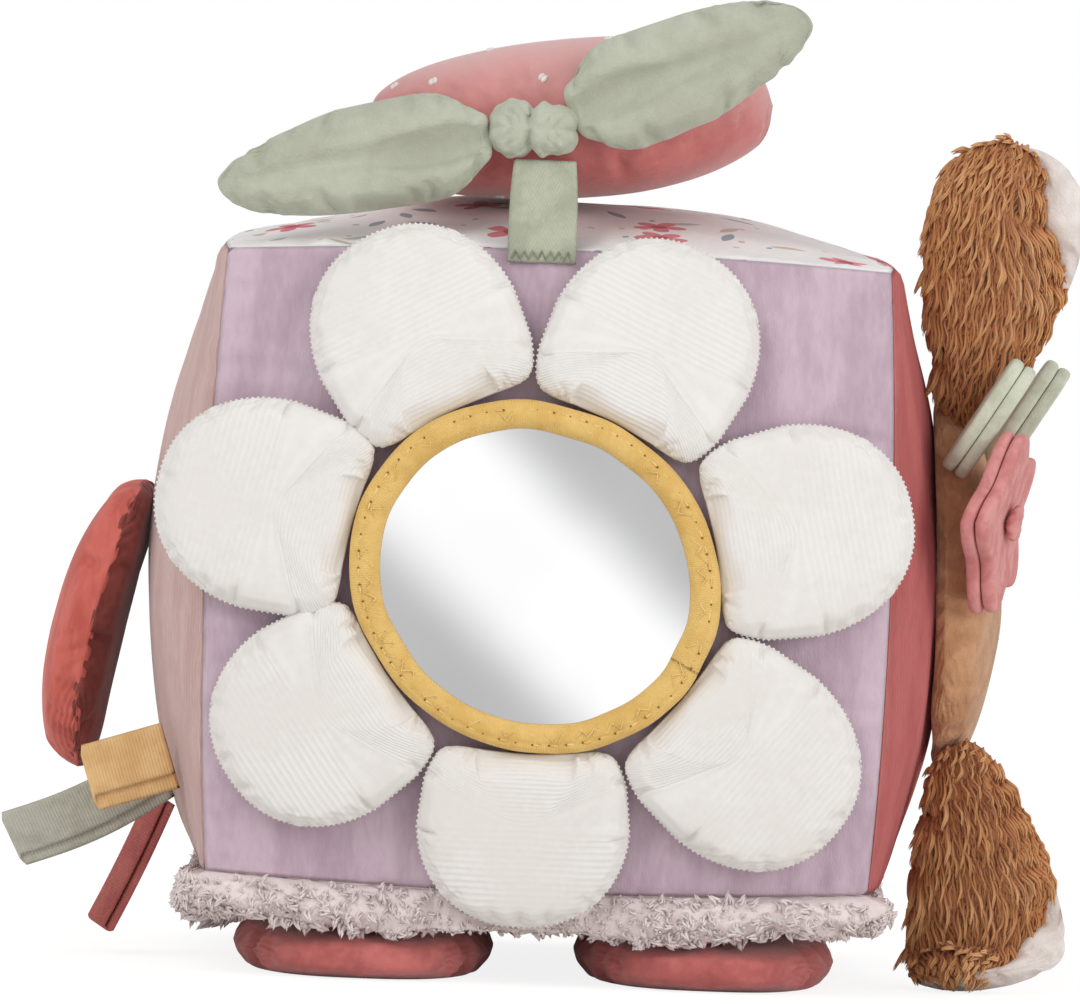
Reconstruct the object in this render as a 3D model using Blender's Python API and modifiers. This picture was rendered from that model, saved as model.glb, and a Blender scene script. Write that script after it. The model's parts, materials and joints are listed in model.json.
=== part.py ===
"""Soft fabric activity block for a baby.

A stuffed cube of six fabric panels with a mirror flower on the front, a flap and ribbons on the
left, a flat plush rabbit head on the right and a stuffed strawberry on a strap at the top. It
stands on two padded lobes. Lengths are in metres, +Z is up and the front faces -Y. The origin is
on the floor, under the middle of the whole toy.
"""

import math

import bmesh
import bpy
from mathutils import Matrix, Vector

MM = 0.001

# The stuffed block: seam to seam sizes, and how far each face swells past its seams.
BLOCK_WIDTH = 150 * MM
BLOCK_DEPTH = 150 * MM
BLOCK_HEIGHT = 141 * MM
FRONT_CROWN = 7 * MM
BACK_CROWN = 14 * MM
SIDE_CROWN = 15 * MM
TOP_CROWN = 12 * MM
BOTTOM_CROWN = 11 * MM
SAG_SHARE = 0.2
CORNER_DRAW_SHARE = 0.03
PANEL_THICKNESS = 2 * MM
PANEL_STEPS = 8

# Clearances: between sewn edges, and between a soft piece and what it lies on.
SEAM_GAP = 0.3 * MM
SOFT_GAP = 0.4 * MM
CUT_OVERRUN = 5 * MM
TURN_MERGE = 0.01 * MM

# The two lobes under the block.
LOBE_THICKNESS = 11 * MM
LOBE_WIDTH = 58 * MM
LOBE_LENGTH = 122 * MM
LOBE_SPREAD = 76 * MM
LOBE_FRONT_OVERHANG = 1 * MM
LOBE_FLAT = 0.5 * MM
LOBE_FILL_SHARE = 0.6
LOBE_SQUARE_SHARE = 0.75
LOBE_SIDES = 24
LOBE_RINGS = 10
UNDERSIDE_HEIGHT = 9 * MM

# The rattle in the middle of the filling.
RATTLE_RADIUS = 16 * MM
RATTLE_WALL = 1.2 * MM
RATTLE_STEPS = 16
POCKET_EASE = 0.5 * MM
POCKET_SIDES = 24
BEAD_RADIUS = 2.5 * MM
BEAD_SPREAD = 3.4 * MM
BEAD_EASE = 0.6 * MM
BEAD_COUNT = 3
BEAD_SIDES = 8
BEAD_RINGS = 6

# The mirror flower on the front.
FLOWER_SHIFT_X = -2.8 * MM
FLOWER_SHIFT_Z = -1 * MM
RING_RADIUS = 39.2 * MM
RING_WIDTH = 6.5 * MM
RING_PUFF = 2.6 * MM
RING_SKIRT = 1 * MM
RING_LAP = 2.2 * MM
RING_OVAL_SHARE = 0.05
RING_TILT = math.radians(-28)
RING_STEPS = 48
WADDING_THICKNESS = 1.6 * MM
BOARD_THICKNESS = 1.2 * MM
FILM_THICKNESS = 0.4 * MM
WADDING_INSET = 2.4 * MM
BOARD_LAP = 0.5 * MM

# The padded petals: each has its angle round the mirror and its share of the full length.
PETAL_LENGTH = 42.5 * MM
PETAL_WIDTH = 46 * MM
PETAL_ROOT_WIDTH = 36.5 * MM
PETAL_FRONT = 3.6 * MM
PETAL_BACK = 1.4 * MM
PETAL_LEVEL = 2.2 * MM
PETAL_HINGE_SET = 1.2 * MM
PETAL_TILT = math.radians(8)
PETAL_MIDDLE_SHARE = 0.42
PETAL_ARC_SHARE = 0.5
PETAL_FILL_SHARE = 0.7
PETAL_TIP_SQUARE_SHARE = 0.9
PETAL_ROOT_SQUARE_SHARE = 0.45
PETAL_SIDES = 20
PETAL_RINGS = 6
PETAL_ANGLES = {
    "top_left": math.radians(118),
    "left": math.radians(167),
    "lower_left": math.radians(215.5),
    "bottom": math.radians(269.5),
    "lower_right": math.radians(321.5),
    "right": math.radians(12),
    "top_right": math.radians(65),
}
PETAL_REACH_SHARES = {
    "top_left": 1.0,
    "left": 1.03,
    "lower_left": 0.98,
    "bottom": 0.9,
    "lower_right": 1.06,
    "right": 1.03,
    "top_right": 0.99,
}

# The strap that holds the strawberry.
STRAP_WIDTH = 15 * MM
STRAP_THICKNESS = 1.4 * MM
STRAP_RISE = 19 * MM
STRAP_SEAM_LAP = 3.5 * MM
STRAP_LEAN = 6.5 * MM
STRAP_SHIFT_X = -4 * MM
STRAP_HINGE_SET = 1.2 * MM
STRAP_CURVE_SHARE = 1.5
STRAP_STEPS_ACROSS = 2
STRAP_STEPS_ALONG = 8

# The strawberry, its knot and its two leaves.
BERRY_WIDTH = 88 * MM
BERRY_LENGTH = 80 * MM
BERRY_THICKNESS = 36 * MM
BERRY_SHIFT_X = 5 * MM
BERRY_LIFT = 9.5 * MM
BERRY_SET_BACK = 3.9 * MM
BERRY_ROLL = math.radians(-6)
BERRY_TAPER_SHARE = 0.24
BERRY_FILL_SHARE = 0.8
BERRY_SQUARE_SHARE = 0.85
BERRY_SIDES = 28
BERRY_RINGS = 12
KNOT_SHIFT_X = -3 * MM
KNOT_WIDTH = 19 * MM
KNOT_DEPTH = 11 * MM
KNOT_HEIGHT = 12.5 * MM
KNOT_WAIST_SHARE = 0.22
KNOT_SIDES = 16
KNOT_RINGS = 8
LEAF_THICKNESS = 10 * MM
LEAF_CREASE_SHARE = 0.35
LEAF_CREASE_WIDTH_SHARE = 0.22
LEAF_FILL_SHARE = 0.75
LEAF_TIP_TAPER_SHARE = 0.1
LEAF_ROOT_SQUARE_SHARE = 0.55
LEAF_SIDES = 20
LEAF_RINGS = 8
LEFT_LEAF_LENGTH = 60 * MM
LEFT_LEAF_WIDTH = 23 * MM
LEFT_LEAF_ANGLE = math.radians(192)
RIGHT_LEAF_LENGTH = 56 * MM
RIGHT_LEAF_WIDTH = 24 * MM
RIGHT_LEAF_ANGLE = math.radians(23)

# The flap on the left panel.
FLAP_LENGTH = 65 * MM
FLAP_WIDTH = 58 * MM
FLAP_TOP_ABOVE_MIDDLE = 15.5 * MM
FLAP_FLARE = 13 * MM
FLAP_COVER = 9 * MM
FLAP_LINING = 5 * MM
FLAP_FILM = 0.5 * MM
FLAP_SHIFT_Y = -2 * MM
FLAP_FILL_SHARE = 0.7
FLAP_TOP_SQUARE_SHARE = 0.5
FLAP_SIDES = 24
FLAP_RINGS = 8

# The ribbon labels, all two layers thick.
RIBBON_THICKNESS = 1.6 * MM
YELLOW_LABEL_LENGTH = 19 * MM
YELLOW_LABEL_WIDTH = 15 * MM
YELLOW_LABEL_DROP = math.radians(18)
YELLOW_LABEL_FROM_FRONT = 22 * MM
YELLOW_LABEL_BELOW_MIDDLE = 44 * MM
GREEN_LABEL_LENGTH = 37 * MM
GREEN_LABEL_WIDTH = 13 * MM
GREEN_LABEL_DROP = math.radians(27)
GREEN_LABEL_FROM_FRONT = 38 * MM
GREEN_LABEL_BELOW_MIDDLE = 48 * MM
CORAL_LABEL_LENGTH = 32 * MM
CORAL_LABEL_WIDTH = 13 * MM
CORAL_LABEL_DROP = math.radians(66)
CORAL_LABEL_TURN = math.radians(62)
CORAL_LABEL_FROM_FRONT = 56 * MM
CORAL_LABEL_BELOW_MIDDLE = 55 * MM
LABEL_SEAT = 0.6 * MM
LABEL_STEPS = 4
CARE_LABEL_WIDTH = 22 * MM
CARE_LABEL_LENGTH = 15 * MM
CARE_LABEL_THICKNESS = 0.8 * MM
CARE_LABEL_SHIFT_X = 34 * MM

# The flat rabbit head on the right panel.
HEAD_DEPTH = 64 * MM
HEAD_HEIGHT = 82 * MM
HEAD_THICKNESS = 11 * MM
HEAD_EDGE = 3 * MM
HEAD_FILL_SHARE = 0.7
HEAD_SQUARE_SHARE = 0.92
HEAD_DOME_SHARE = 0.8
HEAD_FROM_FRONT = 61 * MM
HEAD_SIDES = 28
HEAD_RINGS = 10
EAR_LENGTH = 63 * MM
EAR_WIDTH = 34 * MM
EAR_FUR = 8 * MM
EAR_LINING = 4 * MM
EAR_FROM_CROWN = 17 * MM
EAR_OUT = 5 * MM
EAR_SET_IN = 1 * MM
EAR_TURN = math.radians(20)
EAR_LEAN = math.radians(9.5)
EAR_SHIFT_SHARE = 0.06
EAR_TIP_SWELL_SHARE = 0.3
EAR_FILL_SHARE = 0.75
EAR_FOLD_RADIUS = 9 * MM
EAR_FLOOR_GAP = 0.6 * MM
EAR_SIDES = 20
EAR_RINGS = 12

# The felt flower and leaves on the head.
BLOOM_RADIUS = 21 * MM
BLOOM_PETALS = 5
BLOOM_THICKNESS = 6.4 * MM
BLOOM_NOTCH_SHARE = 0.26
BLOOM_FLARE_SHARE = 0.28
BLOOM_TURN = math.radians(14)
BLOOM_ABOVE_MIDDLE = 14 * MM
BLOOM_STAND_OFF = 2.4 * MM
BLOOM_SIDES = 40
BLOOM_RINGS = 4
FELT_FILL_SHARE = 0.8
BUTTON_RADIUS = 4 * MM
BUTTON_THICKNESS = 3 * MM
BUTTON_SIDES = 12
BUTTON_RINGS = 4
FELT_LEAF_LENGTH = 29 * MM
FELT_LEAF_WIDTH = 15 * MM
FELT_LEAF_THICKNESS = 6.2 * MM
FELT_LEAF_ANGLE = math.radians(58)
FELT_LEAF_FRONT_RISE = HEAD_EDGE + 2 * MM
FELT_LEAF_BACK_RISE = HEAD_THICKNESS - 0.6 * MM
FELT_LEAF_SET_IN = 1.8 * MM
FELT_LEAF_POINT_SHARE = 0.25
FELT_LEAF_SIDES = 16
FELT_LEAF_RINGS = 4

HALF_SIZE = Vector((BLOCK_WIDTH, BLOCK_DEPTH, BLOCK_HEIGHT)) / 2
SEAM_HEIGHT = UNDERSIDE_HEIGHT + BOTTOM_CROWN
MIDDLE_HEIGHT = SEAM_HEIGHT + BLOCK_HEIGHT / 2
HEAD_Y = -HALF_SIZE.y + HEAD_FROM_FRONT
KNOT_PLACE = Vector((KNOT_SHIFT_X, 0, KNOT_HEIGHT / 2))
PANELS = {
    "left_panel": (0, -1),
    "right_panel": (0, 1),
    "front_panel": (1, -1),
    "back_panel": (1, 1),
    "bottom_panel": (2, -1),
    "top_panel": (2, 1),
}
COLOURS = {
    "lilac_velour": ("C8B1BE", 0.95),
    "peach_velour": ("C8A39F", 0.95),
    "rose_corduroy": ("A3625F", 0.95),
    "floral_jersey": ("F1ECE8", 0.9),
    "pink_teddy": ("D8C0C2", 1.0),
    "grey_velour": ("C9B3BB", 0.95),
    "wadding": ("F4F2EE", 1.0),
    "white_plastic": ("F2F0EA", 0.4),
    "silver_film": ("E8E8E8", 0.05),
    "foam_board": ("EFEDE8", 0.8),
    "mustard_cotton": ("D7B36B", 0.9),
    "white_rib": ("ECEAE6", 0.95),
    "sage_tape": ("B1B4A0", 0.9),
    "coral_velour": ("C4716C", 0.95),
    "sage_velour": ("B3B6A4", 0.95),
    "rust_velour": ("A9625C", 0.95),
    "rust_lining": ("7F4540", 0.95),
    "clear_film": ("E6E6E0", 0.3),
    "yellow_ribbon": ("E3B878", 0.9),
    "coral_ribbon": ("B0605A", 0.9),
    "white_ribbon": ("F0EEEA", 0.8),
    "tan_plush": ("B08666", 1.0),
    "brown_fur": ("966241", 1.0),
    "white_plush": ("E6DFDA", 1.0),
    "pink_felt": ("C8808A", 0.95),
    "sage_felt": ("B3B79F", 0.95),
}


def clear_scene():
    for old in list(bpy.data.objects):
        bpy.data.objects.remove(old)


def new_collection(name):
    collection = bpy.data.collections.new(name)
    bpy.context.scene.collection.children.link(collection)
    return collection


def linear(channel):
    return channel / 12.92 if channel <= 0.04045 else ((channel + 0.055) / 1.055) ** 2.4


def finish(name):
    """The Principled material of that name, made the first time it is asked for."""
    found = bpy.data.materials.get(name)
    if found:
        return found
    code, roughness = COLOURS[name]
    rgb = [linear(int(code[i : i + 2], 16) / 255) for i in (0, 2, 4)]
    made = bpy.data.materials.new(name)
    made.use_nodes = True
    shader = made.node_tree.nodes["Principled BSDF"]
    shader.inputs["Base Color"].default_value = (*rgb, 1)
    shader.inputs["Roughness"].default_value = roughness
    shader.inputs["Metallic"].default_value = 1 if name == "silver_film" else 0
    return made


def face_outwards(shape):
    """Turns the faces of a closed bmesh outwards."""
    bmesh.ops.recalc_face_normals(shape, faces=shape.faces)
    if shape.calc_volume(signed=True) < 0:
        bmesh.ops.reverse_faces(shape, faces=shape.faces)


def add_part(name, shape, material, parent, smooth=True):
    """An object made from a bmesh, in the toy's collection, under its parent empty."""
    face_outwards(shape)
    mesh = bpy.data.meshes.new(name)
    shape.to_mesh(mesh)
    shape.free()
    if smooth:
        mesh.shade_smooth()
    mesh.materials.append(finish(material))
    part = bpy.data.objects.new(name, mesh)
    toy.objects.link(part)
    part.parent = parent
    return part


def add_hinge(name, place, parent=None, turn=(0, 0, 0)):
    """An empty that holds a moving piece's place, with its origin on the hinge line."""
    hinge = bpy.data.objects.new(name, None)
    hinge.empty_display_size = RING_WIDTH
    hinge.parent = parent
    hinge.location = place
    hinge.rotation_euler = turn
    toy.objects.link(hinge)
    return hinge


def swell(a, b, c):
    """Place of a point of the stuffed block, given as shares of its half sizes."""
    flat_a = 1 - a * a
    flat_b = 1 - b * b
    flat_c = 1 - c * c
    side = SIDE_CROWN * (1 - SAG_SHARE * c)
    deep = FRONT_CROWN if b < 0 else BACK_CROWN
    high = BOTTOM_CROWN if c < 0 else TOP_CROWN
    x = a * (HALF_SIZE.x + side * flat_b * flat_c)
    y = b * (HALF_SIZE.y + deep * flat_a * flat_c)
    z = c * (HALF_SIZE.z + high * flat_a * flat_b)
    draw = 1 - CORNER_DRAW_SHARE * (a * b * c) ** 2
    return Vector((x * draw, y * draw, MIDDLE_HEIGHT + z * draw))


def side_reach(y, z):
    """How far the block's side faces lie from its middle at that depth and height."""
    b = y / HALF_SIZE.y
    c = (z - MIDDLE_HEIGHT) / HALF_SIZE.z
    return abs(swell(1, max(-1, min(1, b)), max(-1, min(1, c))).x)


def underside(x, y):
    """Height of the block's underside at that place."""
    return swell(max(-1, min(1, x / HALF_SIZE.x)), max(-1, min(1, y / HALF_SIZE.y)), -1).z


def cut_quads(shape):
    """Cuts each bent quad on its shorter diagonal, so that layers that nest bend alike."""
    bmesh.ops.triangulate(shape, faces=shape.faces[:], quad_method="SHORT_EDGE")


def slab(u_steps, v_steps, place):
    """A closed slab. place(u, v, depth) gives a point: u and v run from -1 to 1, depth 0 to 1."""
    shape = bmesh.new()
    bmesh.ops.create_grid(shape, x_segments=u_steps, y_segments=v_steps, size=1)
    made = bmesh.ops.extrude_face_region(shape, geom=shape.faces[:], use_keep_orig=True)
    for item in made["geom"]:
        if isinstance(item, bmesh.types.BMVert):
            item.co.z = 1
    for vertex in shape.verts:
        vertex.co = place(*vertex.co)
    cut_quads(shape)
    return shape


def pillow(sides, rings, place):
    """A closed stuffed form. place(angle, out, lift) gives a point: out is 0 in the middle and
    1 at the edge seam, and lift runs from -1 on the back to 1 on the front."""
    shape = bmesh.new()
    bmesh.ops.create_uvsphere(shape, u_segments=sides, v_segments=rings, radius=1)
    for vertex in shape.verts:
        out = min(1, math.hypot(vertex.co.x, vertex.co.y))
        vertex.co = place(math.atan2(vertex.co.y, vertex.co.x), out, vertex.co.z)
    return shape


def power(value, exponent):
    """A power that keeps the sign, for rounded square outlines."""
    return math.copysign(abs(value) ** exponent, value)


def disc(radius, low, high, sides):
    """A closed disc between two levels."""
    shape = bmesh.new()
    bmesh.ops.create_cone(
        shape,
        cap_ends=True,
        segments=sides,
        radius1=radius,
        radius2=radius,
        depth=high - low,
    )
    bmesh.ops.translate(shape, vec=(0, 0, (low + high) / 2), verts=shape.verts)
    return shape


def turned(name, profile, closed, steps, material, parent):
    """A turned shape: the profile, given as radius and level, with a Screw modifier."""
    shape = bmesh.new()
    points = [shape.verts.new((radius, 0, level)) for radius, level in profile]
    pairs = list(zip(points, points[1:]))
    if closed:
        pairs.append((points[-1], points[0]))
    for pair in pairs:
        shape.edges.new(pair)
    mesh = bpy.data.meshes.new(name)
    shape.to_mesh(mesh)
    shape.free()
    mesh.materials.append(finish(material))
    part = bpy.data.objects.new(name, mesh)
    toy.objects.link(part)
    part.parent = parent
    screw = part.modifiers.new("turn", "SCREW")
    screw.steps = steps
    screw.render_steps = steps
    screw.use_merge_vertices = True
    screw.merge_threshold = TURN_MERGE
    screw.use_smooth_shade = True
    return part


def panel(name, material):
    """One sewn face of the block: a thin swollen slab, mitred against its neighbours."""
    axis, sign = PANELS[name]
    others = [i for i in range(3) if i != axis]

    def place(u, v, depth):
        inset = depth * PANEL_THICKNESS
        shares = [0, 0, 0]
        shares[axis] = sign * (1 - inset / HALF_SIZE[axis])
        for share, i in zip((u, v), others):
            shares[i] = share * (1 - (inset + SEAM_GAP / math.sqrt(2)) / HALF_SIZE[i])
        return swell(*shares)

    add_part(name, slab(PANEL_STEPS, PANEL_STEPS, place), material, None)


def filling():
    """The wadding block, with a round pocket from its back face to past the rattle."""
    shape = bmesh.new()
    bmesh.ops.create_cube(shape, size=2)
    bmesh.ops.subdivide_edges(
        shape, edges=shape.edges[:], cuts=PANEL_STEPS - 1, use_grid_fill=True
    )
    keep = [1 - (PANEL_THICKNESS + SOFT_GAP) / half for half in HALF_SIZE]
    for vertex in shape.verts:
        vertex.co = swell(*(share * part for share, part in zip(vertex.co, keep)))
    cut_quads(shape)
    block = add_part("fibre_filling", shape, "wadding", None)
    front = -RATTLE_RADIUS - SOFT_GAP
    back = HALF_SIZE.y + BACK_CROWN + CUT_OVERRUN
    tool = disc(RATTLE_RADIUS + POCKET_EASE, -back, -front, POCKET_SIDES)
    cutter_mesh = bpy.data.meshes.new("rattle_pocket")
    face_outwards(tool)
    tool.to_mesh(cutter_mesh)
    tool.free()
    cutter = bpy.data.objects.new("rattle_pocket", cutter_mesh)
    cutter.location.z = MIDDLE_HEIGHT
    cutter.rotation_euler.x = math.pi / 2
    cutter.hide_render = True
    cutter.display_type = "WIRE"
    cutters.objects.link(cutter)
    cut = block.modifiers.new("pocket", "BOOLEAN")
    cut.operation = "DIFFERENCE"
    cut.object = cutter


def pocket_plug():
    """The wadding that closes the pocket behind the rattle."""
    radius = RATTLE_RADIUS + POCKET_EASE - SOFT_GAP
    keep = 1 - (PANEL_THICKNESS + SOFT_GAP) / HALF_SIZE.y
    end = swell(radius / HALF_SIZE.x, keep, radius / HALF_SIZE.z).y
    shape = disc(radius, -end, -RATTLE_RADIUS - SOFT_GAP, POCKET_SIDES)
    plug = add_part("pocket_plug", shape, "wadding", rattle)
    plug.rotation_euler.x = math.pi / 2


def rattle_half(name, turn):
    """Half of the rattle's shell, open at the joint."""
    inner = RATTLE_RADIUS - RATTLE_WALL
    corners = range(RATTLE_STEPS // 4 + 1)
    angles = [math.pi / 2 * (1 - 4 * i / RATTLE_STEPS) for i in corners]
    rim = SEAM_GAP / 2
    outside = [(RATTLE_RADIUS, angle) for angle in angles]
    inside = [(inner, angle) for angle in reversed(angles)]
    profile = [
        (radius * math.cos(angle), rim + (radius - rim) * math.sin(angle))
        for radius, angle in outside + inside
    ]
    profile[0] = (0, profile[0][1])
    profile[-1] = (0, profile[-1][1])
    half = turned(name, profile, False, RATTLE_STEPS, "white_plastic", rattle)
    half.rotation_euler.x = turn


def bead_drop():
    """How far a resting bead's middle lies below the middle of the rattle."""
    reach = RATTLE_RADIUS - RATTLE_WALL - BEAD_RADIUS - BEAD_EASE
    return math.sqrt(reach**2 - BEAD_SPREAD**2)


def bead(number):
    angle = math.tau * number / BEAD_COUNT
    place = (BEAD_SPREAD * math.cos(angle), BEAD_SPREAD * math.sin(angle), -bead_drop())
    slide = add_hinge(f"slide_bead_{number + 1}", place, rattle)

    def ball(turn, out, lift):
        return Vector((out * math.cos(turn), out * math.sin(turn), lift)) * BEAD_RADIUS

    shape = pillow(BEAD_SIDES, BEAD_RINGS, ball)
    add_part(f"rattle_bead_{number + 1}", shape, "white_plastic", slide)


def oval_reach(angle):
    """Distance from the flower's middle to the ring's outer edge in that direction."""
    turn = angle - RING_TILT
    long_part = math.cos(turn) / (1 + RING_OVAL_SHARE)
    short_part = math.sin(turn) / (1 - RING_OVAL_SHARE)
    return RING_RADIUS / math.hypot(long_part, short_part)


def make_oval(part):
    part.scale = (1 + RING_OVAL_SHARE, 1 - RING_OVAL_SHARE, 1)
    part.rotation_euler.z = RING_TILT


def mirror():
    """The mirror's layers, from the panel out: wadding, board, film and the ring over them."""
    inner = RING_RADIUS - RING_WIDTH
    film_radius = inner + RING_LAP
    board_radius = film_radius + BOARD_LAP
    board_low = WADDING_THICKNESS + SEAM_GAP
    film_low = board_low + BOARD_THICKNESS + SEAM_GAP
    lap_level = film_low + FILM_THICKNESS + SEAM_GAP
    top_level = lap_level + RING_PUFF
    skirt_inner = board_radius + SEAM_GAP
    wadding_radius = board_radius - WADDING_INSET
    layers = (
        ("mirror_wadding", wadding_radius, 0, WADDING_THICKNESS, "wadding"),
        ("mirror_board", board_radius, board_low, board_low + BOARD_THICKNESS, "foam_board"),
        ("mirror_film", film_radius, film_low, film_low + FILM_THICKNESS, "silver_film"),
    )
    for name, radius, low, high, material in layers:
        part = add_part(name, disc(radius, low, high, RING_STEPS), material, flower, False)
        make_oval(part)
    quarter = RING_WIDTH / 4
    shoulder = lap_level + RING_PUFF * 3 / 4
    profile = [
        (inner + RING_WIDTH / 2, top_level),
        (RING_RADIUS - quarter, shoulder),
        (RING_RADIUS, lap_level),
        (RING_RADIUS, RING_SKIRT),
        (skirt_inner, RING_SKIRT),
        (skirt_inner, lap_level),
        (inner, lap_level),
        (inner + quarter, shoulder),
    ]
    ring = turned("mirror_ring", profile, True, RING_STEPS, "mustard_cotton", flower)
    make_oval(ring)


def petal(name, angle, reach_share):
    """A padded petal whose root follows the ring, with its origin on its stitched root."""
    length = PETAL_LENGTH * reach_share
    middle = length * PETAL_MIDDLE_SHARE
    ring_edge = oval_reach(angle) + SEAM_GAP
    distance = ring_edge + PETAL_HINGE_SET
    place_on_mount = (distance * math.cos(angle), distance * math.sin(angle), PETAL_LEVEL)
    hinge = add_hinge(f"hinge_{name}", place_on_mount, flower, (0, PETAL_TILT, angle))

    def place(turn, out, lift):
        share = out**PETAL_FILL_SHARE
        across, along = math.sin(turn), math.cos(turn)
        if along >= 0:
            x = middle + (length - middle) * along * share
            y = PETAL_WIDTH / 2 * power(across, PETAL_TIP_SQUARE_SHARE) * share
        else:
            x = middle + middle * power(along, PETAL_ROOT_SQUARE_SHARE) * share
            narrow = (middle - x) / middle
            width = PETAL_WIDTH + (PETAL_ROOT_WIDTH - PETAL_WIDTH) * narrow**2
            y = width / 2 * power(across, PETAL_ROOT_SQUARE_SHARE) * share
            arc = ring_edge - math.sqrt(ring_edge**2 - y**2)
            x -= arc * PETAL_ARC_SHARE * narrow
        z = (PETAL_FRONT if lift > 0 else PETAL_BACK) * lift
        return Vector((x - PETAL_HINGE_SET, y, z))

    add_part(name, pillow(PETAL_SIDES, PETAL_RINGS, place), "white_rib", hinge)


def strap():
    """The strap: up from its stitches below the top front seam, then leaning back to the knot."""

    def place(u, v, depth):
        up = (v + 1) / 2 * (STRAP_SEAM_LAP + STRAP_RISE)
        free_share = max(0, up - STRAP_SEAM_LAP) / STRAP_RISE
        back = STRAP_LEAN * free_share**STRAP_CURVE_SHARE
        return Vector((STRAP_WIDTH / 2 * u, back + STRAP_THICKNESS * (depth - 0.5), up))

    band = slab(STRAP_STEPS_ACROSS, STRAP_STEPS_ALONG, place)
    add_part("strawberry_strap", band, "sage_tape", strap_hinge)


def berry_body():
    """The strawberry, lying flat: broad shoulders at the knot and a rounded tip at the back."""

    def place(turn, out, lift):
        share = out**BERRY_FILL_SHARE
        along = -math.cos(turn) * share
        narrow = BERRY_TAPER_SHARE * (along + along**2 / 2)
        width = BERRY_WIDTH / 2 * (1 - narrow)
        x = width * power(math.sin(turn), BERRY_SQUARE_SHARE) * share
        y = BERRY_LENGTH / 2 * along
        slim = 1 - BERRY_TAPER_SHARE * along
        return Vector((x, y, BERRY_THICKNESS / 2 * lift * slim))

    body = add_part(
        "strawberry_body", pillow(BERRY_SIDES, BERRY_RINGS, place), "coral_velour", berry_hinge
    )
    body.location = (BERRY_SHIFT_X, BERRY_SET_BACK + BERRY_LENGTH / 2, BERRY_LIFT)
    body.rotation_euler.y = BERRY_ROLL


def knot():
    """The gathered middle of the bow, drawn in at its waist."""

    def place(turn, out, lift):
        across = out * math.cos(turn)
        waist = 1 - KNOT_WAIST_SHARE * (1 - across**2)
        return Vector(
            (
                KNOT_WIDTH / 2 * across,
                KNOT_DEPTH / 2 * out * math.sin(turn) * waist,
                KNOT_HEIGHT / 2 * lift * waist,
            )
        )

    part = add_part("bow_knot", pillow(KNOT_SIDES, KNOT_RINGS, place), "sage_velour", berry_hinge)
    part.location = KNOT_PLACE


def bow_leaf(name, length, width, angle):
    """A lightly stuffed leaf with a lengthwise crease, hinged where the knot gathers it."""
    reach = 1 / math.hypot(math.cos(angle) / KNOT_WIDTH, math.sin(angle) / KNOT_HEIGHT) / 2
    root = Vector((math.cos(angle), 0, math.sin(angle))) * (reach + SOFT_GAP)
    hinge = add_hinge(f"hinge_{name}", KNOT_PLACE + root, berry_hinge, (0, -angle, 0))

    def place(turn, out, lift):
        share = out**LEAF_FILL_SHARE
        square = LEAF_ROOT_SQUARE_SHARE if math.cos(turn) < 0 else 1
        along = power(math.cos(turn), square) * share
        across = power(math.sin(turn), square) * share
        crease = math.exp(-((across / LEAF_CREASE_WIDTH_SHARE) ** 2))
        thick = LEAF_THICKNESS / 2 * (1 - LEAF_CREASE_SHARE * crease)
        taper = 1 - LEAF_TIP_TAPER_SHARE * along
        return Vector((length / 2 * (1 + along), -thick * lift, width / 2 * across * taper))

    add_part(name, pillow(LEAF_SIDES, LEAF_RINGS, place), "sage_velour", hinge)


def flap_layer(name, level, outer, inner, material):
    """A layer of the flap: it swells by outer away from the block and by inner towards it."""

    def place(turn, out, lift):
        share = out**FLAP_FILL_SHARE
        side, down = math.cos(turn), math.sin(turn)
        square = FLAP_TOP_SQUARE_SHARE if down < 0 else 1
        y = FLAP_WIDTH / 2 * power(side, square) * share
        low = FLAP_LENGTH / 2 * (1 + power(down, square) * share)
        flare = FLAP_FLARE * math.sin(low / FLAP_LENGTH * math.pi / 2)
        swelling = outer * max(0, lift) + inner * min(0, lift)
        return Vector((-flare - level - swelling, y, -low))

    add_part(name, pillow(FLAP_SIDES, FLAP_RINGS, place), material, flap_hinge)


def flap():
    """The hanging flap: a stuffed cover, a crinkle film and a lining, one behind the other."""
    edge = FLAP_FILM / 2 + SEAM_GAP
    flap_layer("flap_cover", edge, FLAP_COVER, 0, "rust_velour")
    flap_layer("flap_crinkle_film", 0, FLAP_FILM / 2, FLAP_FILM / 2, "clear_film")
    flap_layer("flap_lining", -edge, 0, FLAP_LINING, "rust_lining")


def ribbon(name, length, width, drop, turn, from_front, below, material):
    """A folded ribbon label, hinged where it comes out of the left face."""
    y = -HALF_SIZE.y + from_front
    z = MIDDLE_HEIGHT - below
    reach = width / 2 * math.cos(turn)
    edges = [Vector((-math.sin(drop), 0, math.cos(drop))) * half for half in (reach, -reach)]
    seat = max(side_reach(y, z + edge.z) + edge.x for edge in edges)
    place = (-seat - LABEL_SEAT, y, z)
    hinge = add_hinge(f"hinge_{name}", place, None, (0, math.pi - drop, 0))

    def spot(u, v, depth):
        x = (u + 1) / 2 * length
        return Vector((x, RIBBON_THICKNESS * (depth - 0.5), width / 2 * v))

    label = add_part(name, slab(LABEL_STEPS, 1, spot), material, hinge)
    label.rotation_euler.x = turn


def care_label():
    """A blank label in the lower back seam."""
    place = (CARE_LABEL_SHIFT_X, HALF_SIZE.y + CARE_LABEL_THICKNESS, SEAM_HEIGHT)
    hinge = add_hinge("hinge_care_label", place)

    def spot(u, v, depth):
        z = -(v + 1) / 2 * CARE_LABEL_LENGTH
        return Vector((CARE_LABEL_WIDTH / 2 * u, CARE_LABEL_THICKNESS * (depth - 0.5), z))

    add_part("care_label", slab(LABEL_STEPS, 1, spot), "white_ribbon", hinge)


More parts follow.
